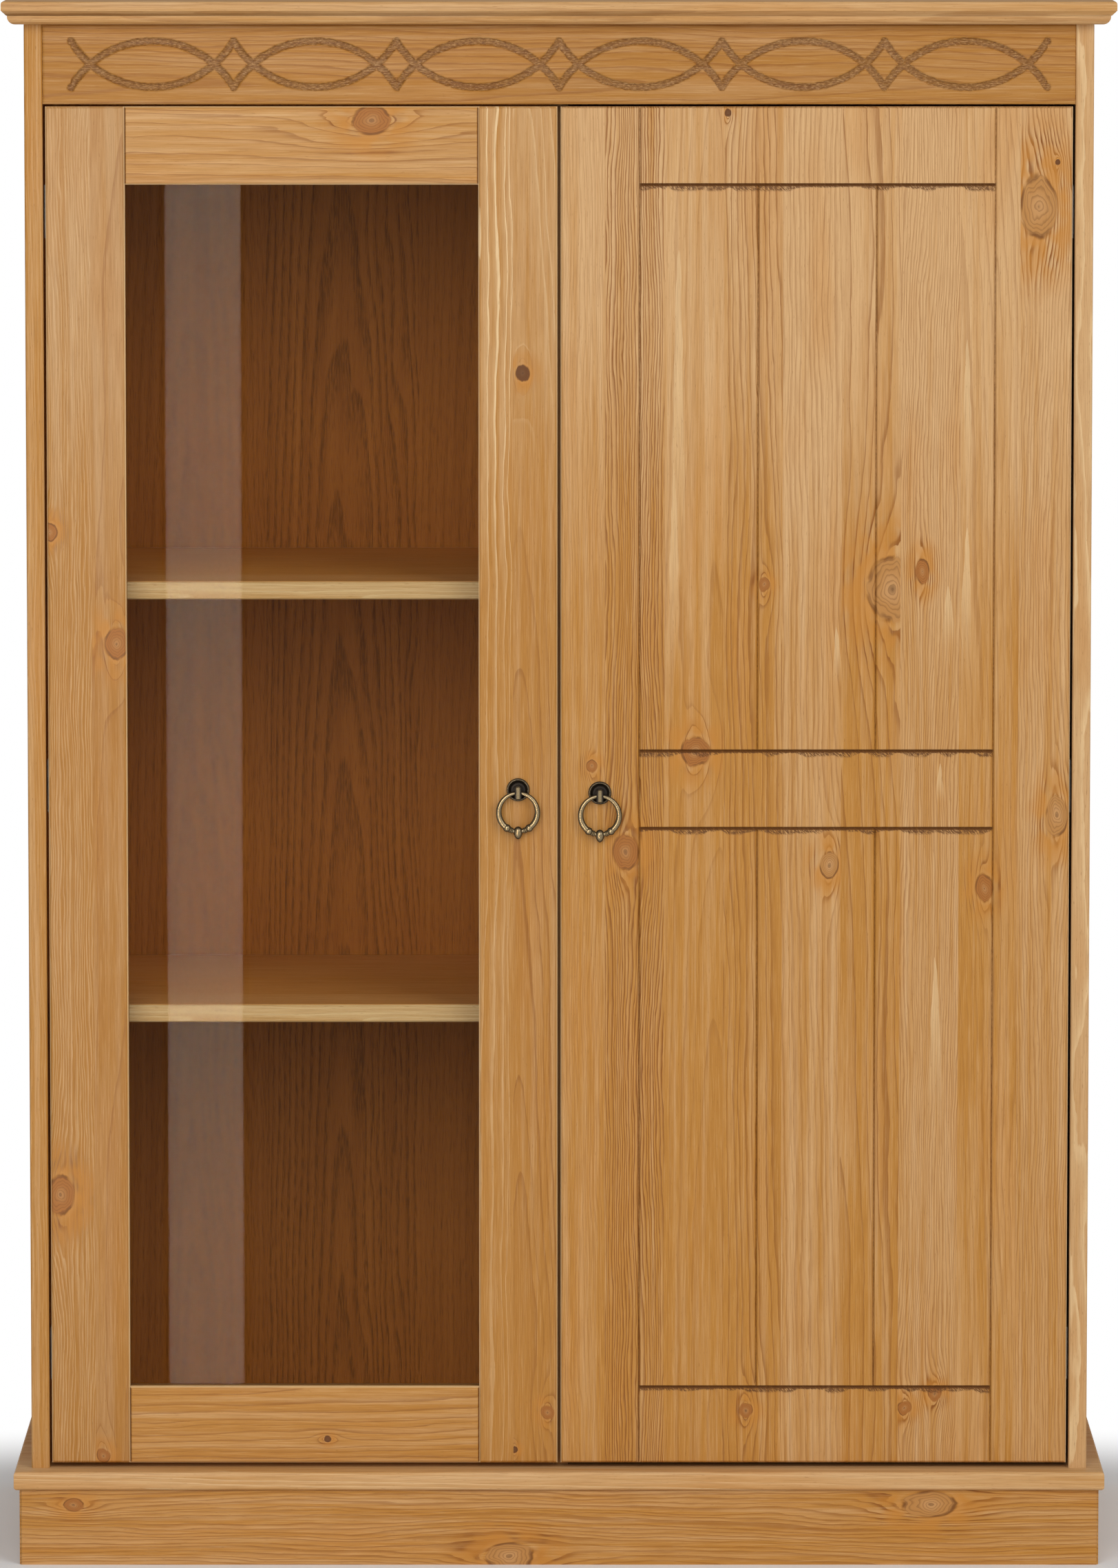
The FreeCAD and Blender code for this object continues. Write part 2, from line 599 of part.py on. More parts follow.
def join_rails(hinge_stile, closing_stile, top_rail, bottom_rail, left_joint, right_joint):
    """Two dowels through each joint between a stile and a rail."""
    y = FRONT + s.door_thick / 2
    hole = s.dowel_radius + s.dowel_play
    depth = s.rail_dowel_half + s.dowel_end_play
    dowels = []
    for rail, end, step in ((top_rail, DOOR_HIGH - s.rail_dowel_inset, -s.rail_dowel_step),
                            (bottom_rail, DOOR_LOW + s.rail_dowel_inset, s.rail_dowel_step)):
        for z in (end, end + step):
            for x, stile, out, into in ((left_joint, hinge_stile, "-x", "+x"),
                                        (right_joint, closing_stile, "+x", "-x")):
                drill(stile, hole, depth, (x, y, z), out)
                drill(rail, hole, depth, (x, y, z), into)
                dowels.append(rod(s.dowel_radius, s.rail_dowel_half * 2,
                                  (x - s.rail_dowel_half, y, z), "+x", "dowel"))
    group("rail_dowels", dowels)


def groove(body, start, length, way, name):
    """A V-groove along a line on the front of a door: a square bar turned by an eighth."""
    bar = body.newObject("PartDesign::SubtractiveBox", name)
    side = s.groove_width / math.sqrt(2)
    half_diagonal = s.groove_width / 2
    if way == "+z":
        bind(bar, Length=side, Width=side, Height=length)
        place(bar, (start[0], start[1] - half_diagonal, start[2]), Rotation(WAYS["+z"], 45))
    else:
        bind(bar, Length=length, Width=side, Height=side)
        place(bar, (start[0], start[1], start[2] - half_diagonal), Rotation(WAYS["+x"], 45))


def make_solid_door():
    """One glued-up panel whose V-grooves draw a frame and planks on it."""
    door = board("right_door_panel", (DOOR_FREE_X, FRONT, DOOR_LOW), (DOOR_HINGE_X, DOOR_BACK, DOOR_HIGH))
    dress(door, "Chamfer", s.door_ease, (("-y",), AXES))
    first = DOOR_FREE_X + s.groove_free_edge
    last = DOOR_HINGE_X - s.groove_hinge_edge
    middle = (DOOR_LOW + DOOR_HIGH) / 2
    levels = (DOOR_LOW + s.groove_end, middle - s.groove_belt / 2,
              middle + s.groove_belt / 2, DOOR_HIGH - s.groove_end)
    for x in (first, last):
        groove(door, (x, FRONT, DOOR_LOW), DOOR_HIGH - DOOR_LOW, "+z", "outer_groove")
    for z in levels:
        groove(door, (first, FRONT, z), last - first, "+x", "level_groove")
    fields = int(s.groove_fields.value)
    for index in range(1, fields):
        x = first + (last - first) * (index / fields)
        for low, high in ((levels[0], levels[1]), (levels[2], levels[3])):
            groove(door, (x, FRONT, low), high - low, "+z", "plank_groove")
    return door


def make_hinge_cup(z):
    """A cup with its flange, and the two lugs that hold the pin."""
    bottom = DOOR_BACK - s.cup_depth
    floor = bottom + s.cup_floor
    shell = fuse([
        rod(s.cup_radius, s.cup_depth, (-CUP_X, bottom, z), "+y"),
        rod(s.flange_radius, s.flange_thick, (-CUP_X, DOOR_BACK, z), "+y"),
        box((-CUP_X - s.flange_ear_width / 2, DOOR_BACK, z - s.flange_ear),
            (-CUP_X + s.flange_ear_width / 2, DOOR_BACK + s.flange_thick, z + s.flange_ear)),
    ])
    hollow = rod(s.cup_radius - s.cup_wall, s.cup_depth + s.flange_thick, (-CUP_X, floor, z), "+y")
    half_arm = s.arm_width / 2 + s.arm_side_play
    lug_half = s.lug_side / 2
    lugs = [
        box((-PIN_X - lug_half, floor, low), (-PIN_X + lug_half, PIN_Y + lug_half, low + s.lug_thick))
        for low in (z + half_arm, z - PIN_HALF)
    ]
    ears = [rod(s.screw_radius + s.dowel_play, s.flange_thick, (-CUP_X, DOOR_BACK, level), "+y")
            for level in (z - s.ear_screw, z + s.ear_screw)]
    pin_hole = rod(s.hinge_pin_radius + s.hinge_run, PIN_HALF * 2, (-PIN_X, PIN_Y, z - PIN_HALF), "+z")
    return cut(fuse([cut(shell, hollow)] + lugs), fuse(ears + [pin_hole]), "hinge_cup")


def make_hinge_arm(z):
    """A cranked arm: an eye in the cup, out past the flange, and back along the side."""
    low, high = z - s.arm_width / 2, z + s.arm_width / 2
    half = s.arm_thick / 2
    reach = -PIN_X + (s.door_thick - s.hinge_pin_depth + s.flange_thick + s.arm_clear)
    back = PIN_Y + hypotenuse(s.hinge_pin_inset, s.door_thick - s.hinge_pin_depth) + s.arm_swing_clear
    plate = -INNER + s.plate_thick
    body = fuse([
        rod(s.arm_eye, s.arm_width, (-PIN_X, PIN_Y, low), "+z"),
        box((-PIN_X, PIN_Y - half, low), (reach + s.arm_thick, PIN_Y + half, high)),
        box((reach, PIN_Y - half, low), (reach + s.arm_thick, back + s.arm_thick, high)),
        box((plate, back, low), (reach + s.arm_thick, back + s.arm_thick, high)),
        box((plate, back, low), (plate + s.arm_thick, back + s.arm_length, high)),
    ])
    bore = rod(s.hinge_pin_radius + s.hinge_run, s.arm_width, (-PIN_X, PIN_Y, low), "+z")
    return cut(body, bore, "hinge_arm"), back


def make_hinge_plate(z, arm_front):
    """A cross-shaped plate on the side, under the arm."""
    front = arm_front + s.plate_start
    body = fuse([
        box((-INNER, front, z - s.arm_width / 2),
            (-INNER + s.plate_thick, front + s.plate_length, z + s.arm_width / 2)),
        box((-INNER, front, z - s.plate_wing),
            (-INNER + s.plate_thick, front + s.plate_wing_width, z + s.plate_wing)),
    ])
    screw_y = front + s.plate_wing_width / 2
    holes = [rod(s.screw_radius + s.dowel_play, s.plate_thick, (-INNER, screw_y, level), "+x")
             for level in (z - s.plate_screw, z + s.plate_screw)]
    return cut(body, fuse(holes), "hinge_plate"), screw_y


def make_hinges(left, hinge_stile, door):
    """Three concealed hinges on each door, with their screws."""
    cups, arms, plates, pins, plate_screws, cup_screws = [], [], [], [], [], []
    bore = s.cup_radius + s.cup_play
    pilot = s.screw_radius + s.dowel_play
    pilot_depth = s.screw_length + s.dowel_end_play
    for z in HINGE_LEVELS:
        cups.append(make_hinge_cup(z))
        arm, arm_front = make_hinge_arm(z)
        arms.append(arm)
        plate, screw_y = make_hinge_plate(z, arm_front)
        plates.append(plate)
        pins.append(rod(s.hinge_pin_radius, PIN_HALF * 2, (-PIN_X, PIN_Y, z - PIN_HALF), "+z", "hinge_pin"))
        for host, x in ((hinge_stile, -CUP_X), (door, CUP_X)):
            drill(host, bore, s.cup_depth, (x, DOOR_BACK, z), "-y")
            for level in (z - s.ear_screw, z + s.ear_screw):
                drill(host, pilot, pilot_depth, (x, DOOR_BACK, level), "-y")
        for level in (z - s.ear_screw, z + s.ear_screw):
            cup_screws.append(screw((-CUP_X, DOOR_BACK + s.flange_thick, level), "-y"))
        for level in (z - s.plate_screw, z + s.plate_screw):
            drill(left, pilot, pilot_depth, (-INNER, screw_y, level), "-x")
            plate_screws.append(screw((-INNER + s.plate_thick, screw_y, level), "-x"))
    fittings = {
        "hinge_cups": cups, "hinge_arms": arms, "hinge_plates": plates, "hinge_pins": pins,
        "hinge_plate_screws": plate_screws, "cup_screws": cup_screws,
    }
    for name, pieces in fittings.items():
        mirror("right_" + name, group("left_" + name, pieces))


def make_catches():
    """A magnetic catch on each face of the partition, and its strike plate on the door."""
    z = DOOR_HIGH - s.catch_drop
    catch_front = DOOR_BACK + s.strike_thick + s.strike_gap
    catch = board("left_catch", (-MIDDLE - s.catch_width, catch_front, z - s.catch_height / 2),
                  (-MIDDLE, catch_front + s.catch_depth, z + s.catch_height / 2))
    mirror("right_catch", catch)
    strike = board("left_strike_plate", (-MIDDLE - s.catch_width, DOOR_BACK, z - s.strike_height / 2),
                   (-MIDDLE, DOOR_BACK + s.strike_thick, z + s.strike_height / 2))
    mirror("right_strike_plate", strike)


def make_pull(hand, x, rise, hosts):
    """A ring pull: a rosette, a knuckle on a threaded shank, its nut behind the door, and the ring."""
    middle = DOOR_LOW + rise
    pivot_z = middle - s.pivot_drop
    pivot_y = FRONT - s.pivot_out
    boss_front = FRONT - s.rosette_boss
    bead = doc.addObject("Part::Torus", "rosette_bead")
    bind(bead, Radius1=s.rosette_radius - s.rosette_bead, Radius2=s.rosette_bead)
    place(bead, (x, FRONT - s.rosette_plate, middle), towards("-y"))
    plate = fuse([
        rod(s.rosette_radius, s.rosette_plate, (x, FRONT, middle), "-y"),
        rod(s.rosette_step_radius, s.rosette_step, (x, FRONT, middle), "-y"),
        rod(s.rosette_boss_radius, s.rosette_boss, (x, FRONT, middle), "-y"),
        bead,
    ])
    hole = s.shank_radius + s.dowel_play
    node(cut(plate, rod(hole, s.rosette_boss, (x, FRONT, pivot_z), "-y"), hand + "_rosette"))

    half_width = s.knuckle_width / 2
    half_height = s.knuckle_height / 2
    block = board(hand + "_knuckle", (x - half_width, pivot_y - s.knuckle_front, pivot_z - half_height),
                  (x + half_width, boss_front, pivot_z + half_height))
    dress(block, "Chamfer", s.knuckle_ease, (("-y",), AXES))
    drill(block, s.ring_wire + s.pivot_play, s.knuckle_width, (x - half_width, pivot_y, pivot_z), "+x")
    shank = block.newObject("PartDesign::AdditiveCylinder", hand + "_shank")
    bind(shank, Radius=s.shank_radius, Height=s.rosette_boss + s.door_thick + s.nut_thick + s.thread_past_nut)
    place(shank, (x, boss_front, pivot_z), towards("+y"))
    for host in hosts:
        drill(host, hole, s.door_thick, (x, FRONT, pivot_z), "+y")

    nut = doc.addObject("Part::Prism", hand + "_nut_blank")
    nut.Polygon = 6
    bind(nut, Circumradius=s.nut_radius, Height=s.nut_thick)
    place(nut, (x, DOOR_BACK, pivot_z), towards("+y"))
    node(cut(nut, rod(hole, s.nut_thick, (x, DOOR_BACK, pivot_z), "+y"), hand + "_nut"))
    make_ring(hand, x, pivot_y, pivot_z)


def make_ring(hand, x, pivot_y, pivot_z):
    """A hanging ring with two beads and a round-ended drop at its bottom."""
    middle = pivot_z - s.ring_radius
    wire = doc.addObject("Part::Torus", hand + "_ring_wire")
    bind(wire, Radius1=s.ring_radius, Radius2=s.ring_wire)
    place(wire, (x, pivot_y, middle), towards("-y"))
    pieces = [wire]
    turn = math.radians(s.bead_angle.value)
    bead_out = Size("%s * sin(%s * 1 deg)" % (s.ring_radius.text, s.bead_angle.text),
                    s.ring_radius.value * math.sin(turn))
    bead_down = Size("%s * cos(%s * 1 deg)" % (s.ring_radius.text, s.bead_angle.text),
                     s.ring_radius.value * math.cos(turn))
    for bead_x in (x - bead_out, x + bead_out):
        pieces.append(ball(s.bead_radius, (bead_x, pivot_y, middle - bead_down), OUT_OF_PLANE))
    drop_middle = middle - s.ring_radius - s.drop_low
    half_shaft = s.drop_half_height - s.drop_radius
    for level in (drop_middle - half_shaft, drop_middle + half_shaft):
        pieces.append(ball(s.drop_radius, (x, pivot_y, level), OUT_OF_PLANE))
    pieces.append(rod(s.drop_radius, half_shaft * 2, (x, pivot_y, drop_middle - half_shaft), "+z",
                      "drop_shaft", OUT_OF_PLANE))
    node(fuse(pieces, hand + "_ring"))


def check_and_write():
    """Stop at any failed object or bad shape, then write each sub-part to its own file."""
    doc.recompute()
    failed = [piece.Name for piece in doc.Objects if {"Invalid", "Error"} & set(piece.State)]
    if failed:
        raise RuntimeError("failed objects: " + ", ".join(failed))
    for piece in nodes:
        if piece.Shape.isNull() or not piece.Shape.isValid() or not piece.Shape.Solids:
            raise RuntimeError("bad shape: " + piece.Label)
    os.makedirs("parts", exist_ok=True)
    for piece in nodes:
        piece.Shape.exportStep("parts/%s.step" % piece.Label)
    print("%d sub-parts written" % len(nodes))


crown = make_crown()
base = make_base()
left_side, partition = make_uprights()
make_carcass_dowels(crown, base, left_side, partition)
make_frieze(left_side)
make_back(left_side, partition)
make_shelves(left_side, partition)
hinge_stile, closing_stile = make_glazed_door()
solid_door = make_solid_door()
make_hinges(left_side, hinge_stile, solid_door)
mirror("right_side", left_side)
make_catches()
make_pull("left", -PULL_X, s.left_pull_rise, [closing_stile])
make_pull("right", PULL_X, s.right_pull_rise, [solid_door])
check_and_write()
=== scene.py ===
"""Dresses the pine highboard: fine mouldings, carving, ring pulls and a finish for each piece."""
import logging
import math
import random
from dataclasses import dataclass, replace
from enum import Enum, IntEnum
from typing import Any, Optional, Union

import bmesh
import bpy
from mathutils import Matrix, Vector, noise


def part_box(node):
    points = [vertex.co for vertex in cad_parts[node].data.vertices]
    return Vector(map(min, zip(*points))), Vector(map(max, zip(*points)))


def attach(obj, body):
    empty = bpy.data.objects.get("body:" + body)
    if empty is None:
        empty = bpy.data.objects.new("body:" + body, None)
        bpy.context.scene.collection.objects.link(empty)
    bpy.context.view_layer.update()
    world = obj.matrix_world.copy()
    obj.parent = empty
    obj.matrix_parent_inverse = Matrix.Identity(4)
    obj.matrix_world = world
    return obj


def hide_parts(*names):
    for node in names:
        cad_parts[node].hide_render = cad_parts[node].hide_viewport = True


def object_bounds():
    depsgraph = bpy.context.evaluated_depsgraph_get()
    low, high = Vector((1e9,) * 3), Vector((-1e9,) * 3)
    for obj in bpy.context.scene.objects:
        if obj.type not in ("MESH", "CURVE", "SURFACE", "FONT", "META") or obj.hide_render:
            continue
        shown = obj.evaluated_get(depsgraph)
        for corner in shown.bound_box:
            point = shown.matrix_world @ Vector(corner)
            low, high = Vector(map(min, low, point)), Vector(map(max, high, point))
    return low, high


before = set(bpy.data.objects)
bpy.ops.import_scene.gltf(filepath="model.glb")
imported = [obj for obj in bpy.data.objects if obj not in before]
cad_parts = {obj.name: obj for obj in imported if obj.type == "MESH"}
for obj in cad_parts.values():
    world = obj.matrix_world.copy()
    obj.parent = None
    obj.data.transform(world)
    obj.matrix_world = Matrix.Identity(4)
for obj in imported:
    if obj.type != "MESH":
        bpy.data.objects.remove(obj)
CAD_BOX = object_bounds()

log = logging.getLogger("highboard")

MM = 0.001
Colour = tuple[float, float, float, float]
Number = Union["Field", float]


def srgb(red: int, green: int, blue: int) -> Colour:
    """A colour given in display values from 0 to 255, as the linear colour that a socket takes.

    Args:
        red: Display value of red.
        green: Display value of green.
        blue: Display value of blue.

    Returns:
        The linear colour, opaque.
    """
    def linear(value: int) -> float:
        """One display value as a linear share."""
        share = value / 255
        return share / 12.92 if share <= 0.04045 else ((share + 0.055) / 1.055) ** 2.4

    return linear(red), linear(green), linear(blue), 1.0


class Field:
    """A value, vector or colour that runs through a shader. Arithmetic on values adds Math nodes."""

    def __init__(self, tree: "ShaderTree", socket: bpy.types.NodeSocket) -> None:
        """Wraps one output socket of a tree."""
        self.tree = tree
        self.socket = socket

    def out(self, name: str) -> "Field":
        """Another output of the node that this field comes from."""
        return Field(self.tree, self.socket.node.outputs[name])

    def __add__(self, other: Number) -> "Field":
        """The sum."""
        return self.tree.math("ADD", self, other)

    __radd__ = __add__

    def __sub__(self, other: Number) -> "Field":
        """The difference."""
        return self.tree.math("SUBTRACT", self, other)

    def __rsub__(self, other: Number) -> "Field":
        """The difference from a number."""
        return self.tree.math("SUBTRACT", other, self)

    def __mul__(self, other: Number) -> "Field":
        """The product."""
        return self.tree.math("MULTIPLY", self, other)

    __rmul__ = __mul__

    def __truediv__(self, other: Number) -> "Field":
        """The quotient."""
        return self.tree.math("DIVIDE", self, other)

    def __rtruediv__(self, other: Number) -> "Field":
        """The quotient of a number."""
        return self.tree.math("DIVIDE", other, self)

    def __pow__(self, power: Number) -> "Field":
        """The power."""
        return self.tree.math("POWER", self, power)

    def __abs__(self) -> "Field":
        """The size without its sign."""
        return self.tree.math("ABSOLUTE", self)

    def floor(self) -> "Field":
        """The whole part."""
        return self.tree.math("FLOOR", self)

    def fract(self) -> "Field":
        """The part past the whole number below."""
        return self.tree.math("FRACT", self)

    def sqrt(self) -> "Field":
        """The square root."""
        return self.tree.math("SQRT", self)

    def least(self, other: Number) -> "Field":
        """The lesser of two values."""
        return self.tree.math("MINIMUM", self, other)

    def most(self, other: Number) -> "Field":
        """The greater of two values."""
        return self.tree.math("MAXIMUM", self, other)

    def below(self, other: Number) -> "Field":
        """One where this value is below the other, and else zero."""
        return self.tree.math("LESS_THAN", self, other)

    def equals(self, other: Number) -> "Field":
        """One where two whole numbers are the same, and else zero."""
        return self.tree.math("COMPARE", self, other, 0.5)

    def ease(self, low: Number, high: Number) -> "Field":
        """Climbs smoothly from zero at low to one at high."""
        return self.tree.add("ShaderNodeMapRange", {"interpolation_type": "SMOOTHSTEP"},
                             {"Value": self, "From Min": low, "From Max": high})

    def fall(self, low: Number, high: Number) -> "Field":
        """Falls smoothly from one at low to zero at high."""
        return 1 - self.ease(low, high)

    def between(self, low: Number, risen: Number, falling: Number, high: Number) -> "Field":
        """Climbs from zero at low to one at risen, then falls from falling to zero at high."""
        return self.ease(low, risen) * self.fall(falling, high)


class ShaderTree:
    """The nodes of one material."""

    def __init__(self, name: str) -> None:
        """Starts a new material with an empty tree."""
        self.material = bpy.data.materials.new(name)
        self.material.use_nodes = True
        self.nodes = self.material.node_tree.nodes
        self.links = self.material.node_tree.links
        self.nodes.clear()

    def add(self, kind: str, settings: Optional[dict[str, Any]] = None,
            inputs: Optional[dict[Any, Any]] = None, output: Any = 0) -> Field:
        """Adds one node.

        Args:
            kind: The node's type.
            settings: Its own settings, set first. "stops" fills a ramp of constant steps.
            inputs: Values or fields for its sockets, by name or number.
            output: Which output comes back.

        Returns:
            The chosen output.
        """
        node = self.nodes.new(kind)
        for name, value in (settings or {}).items():
            if name == "stops":
                self.fill_ramp(node.color_ramp, value)
            else:
                setattr(node, name, value)
        for key, value in (inputs or {}).items():
            if isinstance(value, Field):
                self.links.new(value.socket, node.inputs[key])
            else:
                node.inputs[key].default_value = value
        return Field(self, node.outputs[output])

    @staticmethod
    def fill_ramp(ramp: bpy.types.ColorRamp, stops: list[tuple[float, Colour]]) -> None:
        """Gives a ramp steps of constant colour.

        Args:
            ramp: The ramp.
            stops: Where each step starts, from 0 to 1, and its colour.
        """
        ramp.interpolation = "CONSTANT"
        ramp.elements.remove(ramp.elements[-1])
        ramp.elements[0].position, ramp.elements[0].color = stops[0]
        for place, colour in stops[1:]:
            ramp.elements.new(place).color = colour

    def math(self, operation: str, *values: Number) -> Field:
        """One Math node on the values."""
        return self.add("ShaderNodeMath", {"operation": operation}, dict(enumerate(values)))

    def mix(self, share: Number, first: Any, second: Any) -> Field:
        """A colour between two colours."""
        return self.add("ShaderNodeMix", {"data_type": "RGBA"}, {0: share, 6: first, 7: second}, 2)

    def join(self, x: Number, y: Number, z: Number) -> Field:
        """A vector of three values."""
        return self.add("ShaderNodeCombineXYZ", inputs={0: x, 1: y, 2: z})

    def noise(self, vector: Field, detail: float = 2, roughness: float = 0.5) -> Field:
        """Soft noise about a half, one wave to a unit."""
        return self.add("ShaderNodeTexNoise", {"noise_dimensions": "3D"},
                        {"Vector": vector, "Scale": 1, "Detail": detail, "Roughness": roughness})

    def place(self) -> dict[str, Field]:
        """Finds the place on the object.

        Returns:
            The place in millimetres, by axis.
        """
        there = self.add("ShaderNodeTexCoord", output="Object")
        there = self.add("ShaderNodeVectorMath", {"operation": "SCALE"}, {"Vector": there, "Scale": 1 / MM})
        parts = self.add("ShaderNodeSeparateXYZ", inputs={0: there})
        return {axis: parts.out(axis) for axis in "XYZ"}

    def bump(self, height: Field, distance: float, strength: float) -> Field:
        """A normal from a height field, with the height in metres at one."""
        return self.add("ShaderNodeBump",
                        inputs={"Height": height, "Distance": distance, "Strength": strength})

    def surface(self, **inputs: Any) -> Field:
        """The principled shader; underscores in the names stand for spaces."""
        named = {name.replace("_", " "): value for name, value in inputs.items()}
        return self.add("ShaderNodeBsdfPrincipled", {}, named)

    def done(self, shader: Field) -> bpy.types.Material:
        """Links the shader to the material's output.

        Args:
            shader: The finished surface.

        Returns:
            The material.
        """
        output = self.nodes.new("ShaderNodeOutputMaterial")
        self.links.new(shader.socket, output.inputs["Surface"])
        return self.material


# Names the mesh layer of polish from handling, with painted highlight and shade on the ring.
WEAR_AND_SHADE = "wear_and_shade"


class Lie(Enum):
    """How a board lies: the axes along its grain, across its face and through its thickness."""

    DOOR = "ZXY"
    SIDE = "ZYX"
    RAIL = "XZY"
    SHELF = "XYZ"
    RETURN = "YZX"


class KnotKind(Enum):
    """The colour of a knot, from sound and pale to dead and dark."""

    PALE = 0.0
    ORANGE = 0.45
    DARK = 0.9


@dataclass(frozen=True)
class Knot:
    """An oval knot on a board's face, in millimetres along and across the grain."""

    along: float
    across: float
    half_length: float
    half_width: float
    kind: KnotKind = KnotKind.PALE


@dataclass(frozen=True)
class Flame:
    """A pale flame of early wood, in millimetres: pointed at its tip, wider and fainter below."""

    tip: float
    across: float
    length: float
    half_width: float


@dataclass(frozen=True)
class Stave:
    """One glued-up strip of a board, by how it was sawn from its log.

    Attributes:
        pith: How far the heart of the log lies beside the strip's middle, mm.
        depth: How far the heart lies behind the face at the board's middle, mm.
        drift: The depth gained for each millimetre along the grain.
        ring: The width of a growth ring, mm.
        pale: From warm brown, 0, to pale, 1.
        lines: Late wood from strong brown lines, -1, to strong pale ones, 1.
    """

    pith: float
    depth: float
    drift: float
    ring: float
    pale: float
    lines: float


# The widest range of each fact, and the range of boards that the photograph doesn't show.
STAVE_RANGES = {"pith": (-120, 120), "depth": (0, 120), "drift": (-0.2, 0.2),
                "ring": (1, 15), "pale": (0, 1), "lines": (-1, 1)}
ANY_STAVE = {"pith": (-80, 80), "depth": (15, 60), "drift": (-0.05, 0.05),
             "ring": (2.2, 6), "pale": (0.1, 0.6), "lines": (-0.7, 0.2)}
ANY_KNOT_LENGTH = (7, 19)
ANY_KNOT_SHAPE = (0.6, 0.85)
ANY_KNOT_KINDS = (KnotKind.PALE, KnotKind.ORANGE)


def any_staves(count: int, seed: int) -> tuple[Stave, ...]:
    """Staves of no special look, the same on each run.

    Args:
        count: How many.
        seed: Chooses the set.

    Returns:
        The staves in order.
    """
    draw = random.Random(seed)
    return tuple(Stave(**{name: draw.uniform(*span) for name, span in ANY_STAVE.items()})
                 for _ in range(count))


def any_knots(count: int, seed: int, along: float, across: tuple[float, float]) -> tuple[Knot, ...]:
    """Knots of no special look, the same on each run.

    Args:
        count: How many.
        seed: Chooses the set.
        along: How far from the board's middle they reach along the grain, mm.
        across: From where to where they lie across it, mm.

    Returns:
        The knots.
    """
    draw = random.Random(seed)
    knots = []
    for _ in range(count):
        length = draw.uniform(*ANY_KNOT_LENGTH)
        knots.append(Knot(draw.uniform(-along, along), draw.uniform(*across), length,
                          length * draw.uniform(*ANY_KNOT_SHAPE), draw.choice(ANY_KNOT_KINDS)))
    return tuple(knots)


@dataclass(frozen=True)
class Waves:
    """An unevenness of wood: its wave lengths along and across the grain, mm, and how rough it is."""

    along: float
    across: float
    detail: float = 2
    roughness: float = 0.5


@dataclass(frozen=True)
class Grain:
    """A place on a board, in millimetres along its grain, across it and behind its face."""

    tree: ShaderTree
    along: Field
    across: Field
    through: Field

    def noise(self, waves: Waves, shift: Number = 0) -> Field:
        """Unevenness through the whole board.

        Args:
            waves: Its lengths and roughness.
            shift: Moves it along the grain, in waves.

        Returns:
            The noise about a half.
        """
        spot = self.tree.join(self.along / waves.along + shift, self.across / waves.across,
                              self.through / waves.across)
        return self.tree.noise(spot, waves.detail, waves.roughness)

    def face_noise(self, waves: Waves, seed: float) -> Field:
        """Unevenness that is the same at every depth.

        Args:
            waves: Its lengths and roughness.
            seed: Chooses the pattern.

        Returns:
            The noise about a half.
        """
        spot = self.tree.join(self.along / waves.along, self.across / waves.across, seed)
        return self.tree.noise(spot, waves.detail, waves.roughness)


